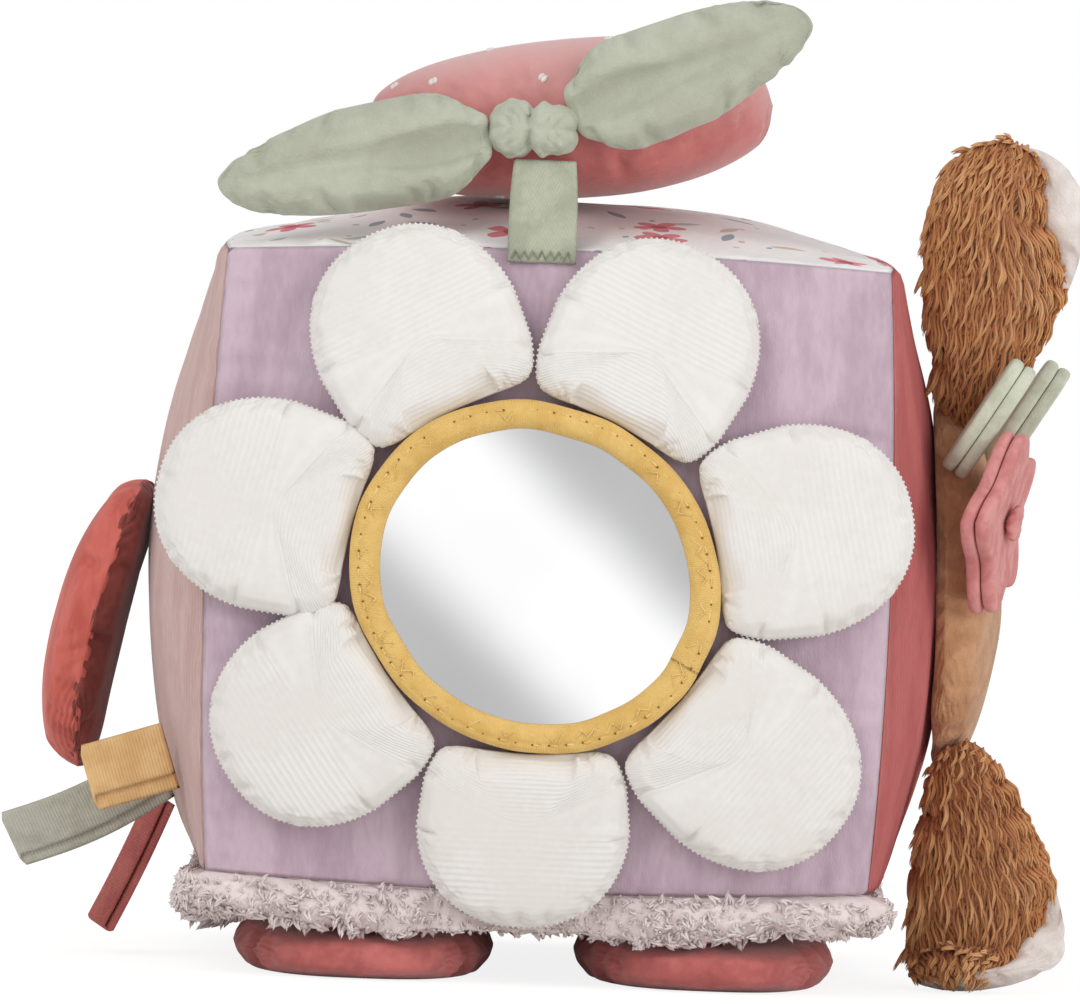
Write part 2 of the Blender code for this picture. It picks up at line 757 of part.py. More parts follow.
def head_outline(turn, share):
    """Depth and height, from the middle of the head, of a point of its outline."""
    y = HEAD_DEPTH / 2 * power(math.cos(turn), HEAD_SQUARE_SHARE) * share
    z = HEAD_HEIGHT / 2 * power(math.sin(turn), HEAD_SQUARE_SHARE) * share
    return y, z


def head():
    """The flat stuffed head, lying on the swollen side of the block."""

    def place(turn, out, lift):
        y, z = head_outline(turn, out**HEAD_FILL_SHARE)
        y += HEAD_Y
        z += MIDDLE_HEIGHT
        base = side_reach(y, z) + SOFT_GAP
        if lift > 0:
            over = HEAD_EDGE + (HEAD_THICKNESS - HEAD_EDGE) * lift**HEAD_DOME_SHARE
        else:
            over = HEAD_EDGE * (1 - (-lift) ** HEAD_DOME_SHARE)
        return Vector((base + over, y, z))

    add_part("rabbit_head", pillow(HEAD_SIDES, HEAD_RINGS, place), "tan_plush", None)


def ear_spot(along, across, over, straight):
    """Place on an ear: distance along it, offset across it and offset towards its fur side.
    Past its straight length the ear bends forward on a round of the fold radius."""
    past = max(0, along - straight)
    bend = min(math.pi / 2, past / EAR_FOLD_RADIUS)
    rest = past - bend * EAR_FOLD_RADIUS
    y = EAR_FOLD_RADIUS * (math.cos(bend) - 1) - rest * math.sin(bend)
    z = min(along, straight) + EAR_FOLD_RADIUS * math.sin(bend) + rest * math.cos(bend)
    return Vector((across, y - over * math.cos(bend), z - over * math.sin(bend)))


def ear_layer(name, hinge, straight, side, thickness, material):
    """One face of an ear, flat at the seam and swelling away from it."""

    def place(turn, out, lift):
        share = out**EAR_FILL_SHARE
        along = math.cos(turn) * share
        across = EAR_WIDTH / 2 * math.sin(turn) * share * (1 + EAR_TIP_SWELL_SHARE * along)
        length = EAR_LENGTH * ((1 + along) / 2 + EAR_SHIFT_SHARE * (1 - along**2))
        over = side * (SEAM_GAP / 2 + thickness * max(0, lift))
        return ear_spot(length, across, over, straight)

    add_part(name, pillow(EAR_SIDES, EAR_RINGS, place), material, hinge)


def ear(name, up):
    """A fur back and a smooth lining. The upper ear stands up. The lower one hangs, and folds
    forward just above the floor."""
    crown = HEAD_HEIGHT / 2 * math.sqrt(1 - (1 - EAR_FROM_CROWN / (HEAD_DEPTH / 2)) ** 2)
    y = HEAD_Y - HEAD_DEPTH / 2 + EAR_FROM_CROWN
    z = MIDDLE_HEIGHT + up * (crown - EAR_SET_IN)
    x = side_reach(y, z) + SOFT_GAP + HEAD_EDGE + EAR_OUT
    lean = EAR_LEAN if up > 0 else math.pi - EAR_LEAN
    hinge = add_hinge(f"hinge_{name}", (x, y, z))
    tilt = Matrix.Rotation(lean, 4, "Y") @ Matrix.Rotation(-up * EAR_TURN, 4, "Z")
    hinge.rotation_euler = tilt.to_euler()
    hanging = z - EAR_LINING - EAR_FLOOR_GAP - EAR_FOLD_RADIUS
    straight = EAR_LENGTH if up > 0 else hanging
    ear_layer(f"{name}_fur", hinge, straight, 1, EAR_FUR, "brown_fur")
    ear_layer(f"{name}_lining", hinge, straight, -1, EAR_LINING, "white_plush")


def bloom():
    """The felt flower on the head: five petals, flaring out in its upper half."""
    middle_z = MIDDLE_HEIGHT + BLOOM_ABOVE_MIDDLE
    y = HEAD_Y - HEAD_DEPTH / 2
    x = side_reach(y, middle_z) + SOFT_GAP + HEAD_THICKNESS + BLOOM_STAND_OFF
    mount = add_hinge("flower_mount", (x, y, middle_z), None, (0, 0, -BLOOM_TURN))

    def place(turn, out, lift):
        share = out**FELT_FILL_SHARE
        wave = (1 + math.cos(BLOOM_PETALS * turn)) / 2
        notch = 1 - BLOOM_NOTCH_SHARE * wave * share
        y = BLOOM_RADIUS * math.cos(turn) * share * notch
        z = BLOOM_RADIUS * math.sin(turn) * share * notch
        flare = BLOOM_FLARE_SHARE * max(0, z)
        return Vector((BLOOM_THICKNESS / 2 * lift + flare, y, z))

    add_part("felt_flower", pillow(BLOOM_SIDES, BLOOM_RINGS, place), "pink_felt", mount)

    def dot(turn, out, lift):
        y = BUTTON_RADIUS * math.cos(turn) * out
        z = BUTTON_RADIUS * math.sin(turn) * out
        flare = BLOOM_FLARE_SHARE * max(0, z)
        start = BLOOM_THICKNESS / 2 + SEAM_GAP
        return Vector((start + BUTTON_THICKNESS / 2 * (1 + lift) + flare, y, z))

    add_part("flower_button", pillow(BUTTON_SIDES, BUTTON_RINGS, dot), "pink_felt", mount)


def felt_leaf(name, place):
    """A felt leaf of two layers, standing off the head."""
    mount = add_hinge(f"{name}_mount", place, None, (0, -FELT_LEAF_ANGLE, 0))

    def spot(turn, out, lift):
        share = out**FELT_FILL_SHARE
        along = math.cos(turn) * share
        across = math.sin(turn) * share
        width = FELT_LEAF_WIDTH / 2 * (1 - FELT_LEAF_POINT_SHARE * along)
        x = FELT_LEAF_LENGTH / 2 * (1 + along)
        return Vector((x, width * across, FELT_LEAF_THICKNESS / 2 * lift))

    add_part(name, pillow(FELT_LEAF_SIDES, FELT_LEAF_RINGS, spot), "sage_felt", mount)


def lobe(name, sign):
    """A padded lobe under the block, cut flat where it stands."""
    middle_x = sign * LOBE_SPREAD / 2
    middle_y = -HALF_SIZE.y - LOBE_FRONT_OVERHANG + LOBE_LENGTH / 2

    def place(turn, out, lift):
        share = out**LOBE_FILL_SHARE
        x = middle_x + LOBE_WIDTH / 2 * power(math.cos(turn), LOBE_SQUARE_SHARE) * share
        y = middle_y + LOBE_LENGTH / 2 * power(math.sin(turn), LOBE_SQUARE_SHARE) * share
        z = LOBE_THICKNESS / 2 * (1 + lift)
        z = max(LOBE_FLAT, z) - LOBE_FLAT
        limit = underside(x, y) - SOFT_GAP
        return Vector((x, y, min(z, limit)))

    add_part(name, pillow(LOBE_SIDES, LOBE_RINGS, place), "coral_velour", None)


clear_scene()
toy = new_collection("soft_activity_block")
cutters = new_collection("cutters")

panel("front_panel", "lilac_velour")
panel("back_panel", "grey_velour")
panel("left_panel", "peach_velour")
panel("right_panel", "rose_corduroy")
panel("top_panel", "floral_jersey")
panel("bottom_panel", "pink_teddy")

rattle = add_hinge("rattle_middle", (0, 0, MIDDLE_HEIGHT))
filling()
pocket_plug()
rattle_half("rattle_shell_front", math.pi / 2)
rattle_half("rattle_shell_back", -math.pi / 2)
for number in range(BEAD_COUNT):
    bead(number)

FLOWER_PLACE = (
    FLOWER_SHIFT_X,
    -HALF_SIZE.y - FRONT_CROWN - SOFT_GAP,
    MIDDLE_HEIGHT + FLOWER_SHIFT_Z,
)
flower = add_hinge("flower_middle", FLOWER_PLACE, None, (math.pi / 2, 0, 0))
mirror()
for side, angle in PETAL_ANGLES.items():
    petal(f"petal_{side}", angle, PETAL_REACH_SHARES[side])

STRAP_Y = -HALF_SIZE.y - STRAP_HINGE_SET - STRAP_THICKNESS / 2
STRAP_Z = MIDDLE_HEIGHT + HALF_SIZE.z - STRAP_SEAM_LAP
strap_hinge = add_hinge("hinge_strap", (STRAP_SHIFT_X, STRAP_Y, STRAP_Z))
strap()
BERRY_HINGE = (0, STRAP_LEAN, STRAP_SEAM_LAP + STRAP_RISE + SOFT_GAP)
berry_hinge = add_hinge("hinge_strawberry", BERRY_HINGE, strap_hinge)
knot()
berry_body()
bow_leaf("left_bow_leaf", LEFT_LEAF_LENGTH, LEFT_LEAF_WIDTH, LEFT_LEAF_ANGLE)
bow_leaf("right_bow_leaf", RIGHT_LEAF_LENGTH, RIGHT_LEAF_WIDTH, RIGHT_LEAF_ANGLE)

FLAP_Z = MIDDLE_HEIGHT + FLAP_TOP_ABOVE_MIDDLE
FLAP_X = -side_reach(FLAP_SHIFT_Y, FLAP_Z) - FLAP_LINING / 2 - SOFT_GAP
flap_hinge = add_hinge("hinge_flap", (FLAP_X, FLAP_SHIFT_Y, FLAP_Z))
flap()
ribbon(
    "yellow_label",
    YELLOW_LABEL_LENGTH,
    YELLOW_LABEL_WIDTH,
    YELLOW_LABEL_DROP,
    0,
    YELLOW_LABEL_FROM_FRONT,
    YELLOW_LABEL_BELOW_MIDDLE,
    "yellow_ribbon",
)
ribbon(
    "green_label",
    GREEN_LABEL_LENGTH,
    GREEN_LABEL_WIDTH,
    GREEN_LABEL_DROP,
    0,
    GREEN_LABEL_FROM_FRONT,
    GREEN_LABEL_BELOW_MIDDLE,
    "sage_tape",
)
ribbon(
    "coral_label",
    CORAL_LABEL_LENGTH,
    CORAL_LABEL_WIDTH,
    CORAL_LABEL_DROP,
    CORAL_LABEL_TURN,
    CORAL_LABEL_FROM_FRONT,
    CORAL_LABEL_BELOW_MIDDLE,
    "coral_ribbon",
)
care_label()

head()
ear("upper_ear", 1)
ear("lower_ear", -1)
bloom()
FELT_LEAF_Z = MIDDLE_HEIGHT + BLOOM_ABOVE_MIDDLE + BLOOM_RADIUS / 2
FELT_LEAF_Y = HEAD_Y - HEAD_DEPTH / 2 + FELT_LEAF_SET_IN
FELT_LEAF_SPOTS = {
    "front": (FELT_LEAF_Y, FELT_LEAF_FRONT_RISE),
    "back": (HEAD_Y, FELT_LEAF_BACK_RISE),
}
for side, (leaf_y, rise) in FELT_LEAF_SPOTS.items():
    leaf_x = side_reach(leaf_y, FELT_LEAF_Z) + SOFT_GAP + rise
    felt_leaf(f"felt_leaf_{side}", (leaf_x, leaf_y, FELT_LEAF_Z))

lobe("left_lobe", -1)
lobe("right_lobe", 1)
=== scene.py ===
# %% [markdown]
# # A soft activity block, sewn, stuffed and dressed
# The block is a stuffed cube of six different fabrics, with a mirror flower, a strawberry on a
# strap, a flap, ribbon labels and a flat rabbit head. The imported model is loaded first: it is the
# plain frame, with every hinge in its place. Each soft piece is then sewn again over that frame,
# from the same sizes, with the puffs, seams, ribs and pile that the plain solids leave out.

# %% Load the frame
import json
import math

import bpy
import numpy as np
from mathutils import Matrix, Vector


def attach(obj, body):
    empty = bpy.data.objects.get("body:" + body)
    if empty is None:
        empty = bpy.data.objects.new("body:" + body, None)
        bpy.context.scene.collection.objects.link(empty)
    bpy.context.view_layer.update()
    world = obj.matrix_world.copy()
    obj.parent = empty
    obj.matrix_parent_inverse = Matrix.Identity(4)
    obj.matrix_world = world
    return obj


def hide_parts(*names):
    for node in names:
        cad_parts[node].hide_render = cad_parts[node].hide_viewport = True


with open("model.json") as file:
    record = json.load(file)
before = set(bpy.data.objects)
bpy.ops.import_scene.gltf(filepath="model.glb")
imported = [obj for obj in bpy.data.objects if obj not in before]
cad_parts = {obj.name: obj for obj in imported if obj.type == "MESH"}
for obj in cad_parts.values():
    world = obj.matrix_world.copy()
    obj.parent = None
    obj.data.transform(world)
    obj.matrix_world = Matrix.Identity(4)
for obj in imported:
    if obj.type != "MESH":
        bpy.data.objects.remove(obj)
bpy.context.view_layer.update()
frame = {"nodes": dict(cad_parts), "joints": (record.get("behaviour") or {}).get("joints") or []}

MM = 0.001

# %% [markdown]
# ## Small tools for nodes
# Materials and Geometry Nodes are both trees of nodes. One function adds a node, fills its inputs
# with numbers or links, and hands its output on, so that a whole material reads from top to
# bottom. Two sets of settings come back often and have names: a Map Range that eases in and out,
# and a Mix of two colours. Colours are written as they look on a screen, and one function turns
# them into the linear values that the render works with.


# %% Node tools
FAMILIES = ("GeometryNode", "FunctionNode", "NodeGroup")
EASED = {"interpolation_type": "SMOOTHSTEP"}
COLOURS = {"data_type": "RGBA", "out": 2}


def linear(channel):
    """Linear value of one screen channel between 0 and 1."""
    return channel / 12.92 if channel <= 0.04045 else ((channel + 0.055) / 1.055) ** 2.4


def colour(code):
    """Linear colour of a screen hex code."""
    return (*(linear(int(code[i : i + 2], 16) / 255) for i in (0, 2, 4)), 1)


def add(tree, kind, *inputs, out=0, **settings):
    """Adds a node and hands back its output, or the node where out is None. Its inputs are numbers
    or sockets, in order or in a dict by name. A kind without a family is a shader node."""
    made = tree.nodes.new(kind if kind.startswith(FAMILIES) else "ShaderNode" + kind)
    for name, value in settings.items():
        setattr(made, name, value)
    for place, given in enumerate(inputs):
        for key, value in (given if isinstance(given, dict) else {place: given}).items():
            if isinstance(value, bpy.types.NodeSocket):
                tree.links.new(value, made.inputs[key])
            else:
                made.inputs[key].default_value = value
    return made if out is None else made.outputs[out]


def noise(tree, place, size, detail=2.0, scales=(1, 1, 1)):
    """Noise with lumps of about the given size in metres."""
    place = add(tree, "Mapping", {"Vector": place, "Scale": scales})
    inputs = {"Vector": place, "Scale": 1 / size, "Detail": detail}
    return add(tree, "TexNoise", inputs, out="Fac")


print("lilac in linear values", [round(part, 3) for part in colour("CFB9C6")[:3]])

# %% [markdown]
# ## The camera
# The photograph was taken from about two metres with a long lens, one degree above level and
# turned a little. A long lens keeps the sides of the block nearly parallel. The camera is placed
# from those measures, and nothing in the scene depends on it.

# %% Camera
LENS_PIXELS = 9200
PHOTO_WIDTH = 1080
SENSOR_MM = 36
LOOK_DOWN = math.radians(1.0)
CAMERA_ROLL = math.radians(2.2)
EYE = Vector((-2.32, -2074.43, 140.54)) * MM

ahead = Vector((0, math.cos(LOOK_DOWN), -math.sin(LOOK_DOWN)))
side_way = Vector((1, 0, 0))
up_way = side_way.cross(ahead)
right = side_way * math.cos(CAMERA_ROLL) + up_way * math.sin(CAMERA_ROLL)
above = -side_way * math.sin(CAMERA_ROLL) + up_way * math.cos(CAMERA_ROLL)
camera_data = bpy.data.cameras.new("photo_camera")
camera_data.lens = LENS_PIXELS / PHOTO_WIDTH * SENSOR_MM
camera_data.sensor_width = SENSOR_MM
camera_data.clip_start = 0.05
camera = bpy.data.objects.new("photo_camera", camera_data)
camera.matrix_world = Matrix.Translation(EYE) @ Matrix((right, above, -ahead)).transposed().to_4x4()
bpy.context.scene.collection.objects.link(camera)
bpy.context.scene.camera = camera
print("lens", round(camera_data.lens, 1), "mm")

# %% [markdown]
# ## Light and floor
# Soft cloth is photographed in a wide, even light. The world gives that, and two large lamps give
# the soft shade that shows how round each piece is. The floor and the background are white for
# the camera, while the floor still takes the shadow. The mirror film needs something to reflect,
# so for glossy rays the world holds pale grey cards with a bright slanting band between them.

# %% World
world = bpy.data.worlds.new("studio")
world.use_nodes = True
bpy.context.scene.world = world
bpy.context.scene.view_settings.view_transform = "Standard"
AMBIENT = 0.66
CARD_SPREAD = 0.118
CARD_DROP = 0.026
CARD_BRIGHT, CARD_GREY = 1.12, 0.56

tree = world.node_tree
tree.nodes.clear()
way = add(tree, "SeparateXYZ", add(tree, "TexCoord", out="Generated"), out=None)
lifted = add(tree, "Math", way.outputs["Z"], CARD_DROP, operation="ADD")
slant = add(tree, "Math", way.outputs["X"], lifted, operation="ADD")
across = add(tree, "Math", slant, CARD_SPREAD * math.sqrt(2), operation="DIVIDE")
off_band = add(tree, "Math", across, operation="ABSOLUTE")
card = add(tree, "MapRange", off_band, 0.24, 0.66, CARD_BRIGHT, CARD_GREY, **EASED)
paths = add(tree, "LightPath", out=None)
seen = add(
    tree, "Math", paths.outputs["Is Camera Ray"], paths.outputs["Is Transmission Ray"], operation="MAXIMUM"
)
plain = add(tree, "Background", {"Color": (1, 0.995, 0.99, 1), "Strength": AMBIENT})
white = add(tree, "Background", {"Color": (1, 1, 1, 1), "Strength": 1})
cards = add(tree, "Background", {"Color": (1, 1, 1, 1), "Strength": card})
mix = add(tree, "MixShader", paths.outputs["Is Glossy Ray"], plain, cards)
mix = add(tree, "MixShader", seen, mix, white)
add(tree, "OutputWorld", {"Surface": mix}, out=None)
print("world nodes", len(tree.nodes))

# %% Lamps and floor
def soft_lamp(name, place, aim, size, watts):
    """A round area lamp that faces its aim."""
    lamp = bpy.data.lights.new(name, "AREA")
    lamp.shape = "DISK"
    lamp.size = size
    lamp.energy = watts
    holder = bpy.data.objects.new(name, lamp)
    holder.location = place
    holder.rotation_euler = (Vector(aim) - Vector(place)).to_track_quat("-Z", "Y").to_euler()
    bpy.context.scene.collection.objects.link(holder)


soft_lamp("window_side", (-0.9, -1.1, 1.2), (0, 0, 0.08), 0.9, 8)
soft_lamp("fill_side", (1.4, -1.1, 0.55), (0, 0, 0.09), 1.2, 9)

FLOOR_HALF = 6
FLOOR_GLOW, FLOOR_SHARE = 1.16, 0.74
mesh = bpy.data.meshes.new("floor")
corners = [(x * FLOOR_HALF, y * FLOOR_HALF, 0) for x, y in ((-1, -1), (1, -1), (1, 1), (-1, 1))]
mesh.from_pydata(corners, [], [(0, 1, 2, 3)])
floor = bpy.data.objects.new("floor", mesh)
bpy.context.scene.collection.objects.link(floor)
paper = bpy.data.materials.new("white_paper_floor")
paper.use_nodes = True
tree = paper.node_tree
tree.nodes.clear()
paths = add(tree, "LightPath", out=None)
matt = add(tree, "BsdfDiffuse", {"Color": colour("F4F3F1")})
glow = add(tree, "Emission", {"Color": (1, 1, 1, 1), "Strength": FLOOR_GLOW})
share = add(tree, "Math", paths.outputs["Is Camera Ray"], FLOOR_SHARE, operation="MULTIPLY")
mix = add(tree, "MixShader", share, matt, glow)
through = add(tree, "BsdfTransparent")
mix = add(tree, "MixShader", paths.outputs["Is Glossy Ray"], mix, through)
add(tree, "OutputMaterial", {"Surface": mix}, out=None)
mesh.materials.append(paper)
print("lamps 2, floor", 2 * FLOOR_HALF, "m")

# %% [markdown]
# ## Cloth materials
# Most of the block is pile cloth: velour, plush and teddy. Pile looks soft because its fibres
# catch light at the edges, which the shader's sheen gives, and because stroked patches look
# lighter or darker, which slow noise gives. A fine noise in the bump stands for the fibres. One
# function makes this base, and each fabric adds its own ribs, weave or print to it.


# %% The base of every fabric
def cloth(
    name, light, dark, patch=9 * MM, grain=0.5 * MM, grain_depth=0.12 * MM, sheen=0.3, stretch=(1, 1, 1)
):
    """A pile cloth. It hands back the material, its tree, its shader, the place, colour and bump."""
    made = bpy.data.materials.new(name)
    made.use_nodes = True
    tree = made.node_tree
    shader = tree.nodes["Principled BSDF"]
    shader.inputs["Roughness"].default_value = 0.95
    shader.inputs["Specular IOR Level"].default_value = 0.15
    shader.inputs["Sheen Weight"].default_value = sheen
    shader.inputs["Sheen Roughness"].default_value = 0.45
    place = add(tree, "TexCoord", out="Object")
    patches = noise(tree, place, patch, 3, stretch)
    patches = add(tree, "MapRange", patches, 0.34, 0.66, **EASED)
    fibres = noise(tree, place, grain, 2, stretch)
    streaks = noise(tree, place, 4 * grain, 2, stretch)
    streaks = add(tree, "MapRange", streaks, 0.3, 0.7, -0.22, 0.22, **EASED)
    share = add(tree, "Math", patches, streaks, operation="ADD", use_clamp=True)
    tint = add(tree, "Mix", {0: share, 6: colour(dark), 7: colour(light)}, **COLOURS)
    bump = add(tree, "Bump", {"Height": fibres, "Strength": 1, "Distance": grain_depth}, out=None)
    tree.links.new(tint, shader.inputs["Base Color"])
    tree.links.new(bump.outputs[0], shader.inputs["Normal"])
    return made, tree, shader, place, tint, bump


def cloth_uv(tree):
    """Place on the flat cloth in metres, across and along, read from the piece's own map."""
    flat = add(tree, "UVMap", uv_map="cloth")
    return add(tree, "SeparateXYZ", flat, out=None).outputs


def ribs(tree, position, pitch):
    """0 in the grooves and 1 on the ribs of a ribbed cloth."""
    angle = add(tree, "Math", position, math.tau / pitch, operation="MULTIPLY")
    wave = add(tree, "Math", angle, operation="SINE")
    return add(tree, "MapRange", wave, -1, 1, **EASED)


def ridge_bump(tree, shader, bump, height, depth):
    """Lays a second, coarser bump under the fibres."""
    made = add(tree, "Bump", {"Height": height, "Strength": 1, "Distance": depth}, out=None)
    tree.links.new(made.outputs[0], bump.inputs["Normal"])
    return made


# %% [markdown]
# ### The velours, plush and felt
# They differ in colour, pile length and how patchy the nap looks. Velour has a short nap that is
# brushed one way, so its noise is stretched along that way. Felt has no nap and little sheen.

# %% Pile fabrics
UPRIGHT = (1.6, 1.6, 0.5)
# Cotton velour, brushed upright: matt, with streaks where hands have stroked the nap.
lilac_velour = cloth("lilac_velour", "CFB9C6", "BDA6B4", 14 * MM, 0.55 * MM, 0.16 * MM, 0.35, UPRIGHT)[0]
# The same velour from a greyer roll, for the back.
grey_velour = cloth(
    "grey_lilac_velour", "CDB9C1", "BDA7B1", 14 * MM, 0.55 * MM, 0.16 * MM, 0.35, UPRIGHT
)[0]
# Velour with a long sheen: its upper side is painted paler, a painted highlight where light from above
# falls on the nap.
coral_velour, tree, shader, place, tint, bump = cloth(
    "coral_velour", "CF7C79", "C06B68", 14 * MM, 0.5 * MM, 0.12 * MM, 0.5
)
height = add(tree, "SeparateXYZ", place, out="Z")
# Painted highlight: the colour turns paler pink towards the top of the strawberry.
painted_top_highlight = add(tree, "MapRange", height, 0.182, 0.206, 0.0, 0.75, **EASED)
tint = add(tree, "Mix", {0: painted_top_highlight, 6: tint, 7: colour("DDB0AE")}, **COLOURS)
tree.links.new(tint, shader.inputs["Base Color"])
# The same cloth with smaller patches and a darker dark tone.
lobe_velour = cloth("darker_coral_lobe_velour", "CC7672", "B4625F", 10 * MM, 0.5 * MM, 0.15 * MM, 0.35)[0]
# Velour with a deeper nap, which softens every crease of the bow.
sage_velour = cloth("sage_velour", "BDC0AF", "B1B4A2", 16 * MM, 0.6 * MM, 0.22 * MM, 0.3)[0]
# Dense velour for the flap, and its lining in thin brushed cotton, which is flatter and a
# little darker; its colour is darker still, painted shade of the flap's inner face.
rust_velour = cloth("rust_velour", "D87268", "C46156", 10 * MM, 0.55 * MM, 0.16 * MM, 0.2, UPRIGHT)[0]
rust_lining = cloth("rust_lining", "96504A", "80423C", 8 * MM, 0.5 * MM, 0.12 * MM, 0.2)[0]
# Plush has fibres of about 1 mm, so its grain is coarser and its bump deeper than velour's.
tan_plush = cloth("tan_plush", "CC9C76", "B78863", 7 * MM, 0.8 * MM, 0.35 * MM, 0.3)[0]
white_plush = cloth("white_plush", "ECE5E0", "DDD3CD", 8 * MM, 0.7 * MM, 0.25 * MM, 0.2)[0]
# Pressed wool felt: fine grain, no nap and hardly any sheen.
pink_felt = cloth("pink_felt", "DC9A97", "CC8380", 5 * MM, 0.35 * MM, 0.12 * MM, 0.1)[0]
sage_felt = cloth("pale_sage_felt", "D2D6C4", "BFC4AE", 5 * MM, 0.35 * MM, 0.12 * MM, 0.1)[0]
# Loose polyester wadding: pale and very fluffy.
wadding = cloth("fluffy_wadding", "F4F2EE", "E6E3DD", 6 * MM, 0.9 * MM, 0.5 * MM, 0.1)[0]
print("pile fabrics", 12)

# %% [markdown]
# ### Ribbed fabrics
# The petals are a fine rib knit whose ribs run across each petal. The left face is a soft rib
# with ribs 1.9 mm apart, and the right face is a corduroy whose wales run upright. The ribs come
# from each piece's own map, which is laid out in metres of flat cloth, so they bend with the
# piece. Deep ribs are in the mesh as well, and the bump gives only their fine rounding. In the
# knit and the corduroy the grooves are painted darker, a painted shade, and on the soft rib the
# ribs are painted paler, a painted highlight.

# %% Rib fabrics
# Fine rib knit in cotton: off-white, matt, with ribs 1.2 mm apart that wander a little as knits do.
PETAL_RIB = 1.2 * MM
white_rib, tree, shader, place, tint, bump = cloth(
    "white_rib_knit", "ECE9E6", "E6E2DE", 16 * MM, 0.4 * MM, 0.04 * MM, 0.1
)
across, along = cloth_uv(tree)[:2]
wander = add(tree, "Math", noise(tree, place, 11 * MM), 0.8 * MM, operation="MULTIPLY")
rib = ribs(tree, add(tree, "Math", along, wander, operation="ADD"), PETAL_RIB)
rib_depth_and_groove_shade = noise(tree, place, 16 * MM, 1)
rib_depth_and_groove_shade = add(tree, "MapRange", rib_depth_and_groove_shade, 0.3, 0.62, 0.25, 1.0, **EASED)
height = add(tree, "Math", rib, rib_depth_and_groove_shade, operation="MULTIPLY")
ridge_bump(tree, shader, bump, height, 0.09 * MM)
# Painted shade: the grooves between the ribs are darkened a little, most where the ribs stand out.
deep = add(tree, "Math", add(tree, "Math", 1, rib, operation="SUBTRACT"), rib_depth_and_groove_shade, operation="MULTIPLY")
shade = add(tree, "MapRange", deep, 0, 1, 1.0, 0.975, **EASED)
grey = add(tree, "CombineColor", shade, shade, shade)
tint = add(tree, "Mix", {0: 1.0, 6: tint, 7: grey}, **COLOURS, blend_type="MULTIPLY")
tree.links.new(tint, shader.inputs["Base Color"])

# Rib velour: its ribs are painted slightly paler than the ground between them, a painted highlight on the
# ribs.
SOFT_RIB = 1.9 * MM
peach_velour, tree, shader, place, tint, bump = cloth(
    "peach_rib_velour", "CFADA8", "C09A95", 16 * MM, 0.5 * MM, 0.12 * MM, 0.35, UPRIGHT
)
across, along = cloth_uv(tree)[:2]
rib = ribs(tree, across, SOFT_RIB)
ridge_bump(tree, shader, bump, rib, 0.1 * MM)
paler = add(tree, "Math", rib, 0.22, operation="MULTIPLY")
tint = add(tree, "Mix", {0: paler, 6: tint, 7: colour("D8BAB4")}, **COLOURS)
tree.links.new(tint, shader.inputs["Base Color"])

# Corduroy: cut wales, with painted shade darkening the grooves between them. Real ones are finer, and these
# are as coarse as shows.
WALE = 1.7 * MM
rose_corduroy, tree, shader, place, tint, bump = cloth(
    "rose_corduroy", "CE7977", "BE6967", 16 * MM, 0.45 * MM, 0.12 * MM, 0.15, UPRIGHT
)
across, along = cloth_uv(tree)[:2]
rib = ribs(tree, across, WALE)
ridge_bump(tree, shader, bump, rib, 0.3 * MM)
# Painted shade: the grooves between the wales are mixed towards a darker rose.
groove = add(tree, "Math", add(tree, "Math", 1, rib, operation="SUBTRACT"), 0.4, operation="MULTIPLY")
tint = add(tree, "Mix", {0: groove, 6: tint, 7: colour("A05250")}, **COLOURS)
tree.links.new(tint, shader.inputs["Base Color"])
print("rib fabrics", 3)

# %% [markdown]
# ### The printed jersey on top
# The real jersey has a small flower print. This one is a plain ditsy print of its own: layers of
# Voronoi cells, with one motif in each cell, turned at random. A five-petal flower is a circle
# whose radius swells five times round, a leaf is a long pointed oval, and a bud is a dot. Each
# layer gives a mask, and the masks lay one colour after another over the white cloth.

# %% Ditsy print
PRINT_CELL = 19 * MM
FLOWER_PETALS = 5


def motif_cells(tree, flat, size, shift):
    """Radius and turn round the middle of each cell, and three random numbers for the cell."""
    moved = add(tree, "VectorMath", flat, (shift, shift * 1.7, 0), operation="ADD")
    scaled = add(tree, "VectorMath", {0: moved, "Scale": 1 / size}, operation="SCALE")
    cells = add(
        tree, "TexVoronoi", {"Vector": scaled, "Scale": 1, "Randomness": 0.8}, out=None,
        voronoi_dimensions="2D",
    )
    middle = cells.outputs["Position"]
    offset = add(tree, "VectorMath", scaled, middle, operation="SUBTRACT")
    random = add(tree, "SeparateColor", cells.outputs["Color"], out=None).outputs
    angle = add(tree, "Math", random[0], math.tau, operation="MULTIPLY")
    turned = add(tree, "VectorRotate", {"Vector": offset, "Angle": angle}, rotation_type="Z_AXIS")
    parts = add(tree, "SeparateXYZ", turned, out=None).outputs
    return parts[0], parts[1], random


def flower_mask(tree, x, y, radius, chance, random):
    """A five-petal flower in the cells whose random number is over the chance."""
    reach = add(tree, "VectorMath", add(tree, "CombineXYZ", x, y), out="Value", operation="LENGTH")
    turn = add(tree, "Math", y, x, operation="ARCTAN2")
    turn = add(tree, "Math", turn, FLOWER_PETALS / 2, operation="MULTIPLY")
    petal = add(tree, "Math", add(tree, "Math", turn, operation="COSINE"), operation="ABSOLUTE")
    bulge = add(tree, "Math", petal, 0.58, operation="MULTIPLY")
    edge = add(tree, "Math", add(tree, "Math", 0.42, bulge, operation="ADD"), radius, operation="MULTIPLY")
    room = add(tree, "Math", edge, reach, operation="SUBTRACT")
    inside = add(tree, "MapRange", room, -0.006, 0.012, **EASED)
    near, far = 0.25 * radius, 0.34 * radius
    heart = add(tree, "MapRange", reach, near, far, 1, 0, **EASED)
    chosen = add(tree, "Math", random[1], chance, operation="GREATER_THAN")
    return [add(tree, "Math", mask, chosen, operation="MULTIPLY") for mask in (inside, heart)]


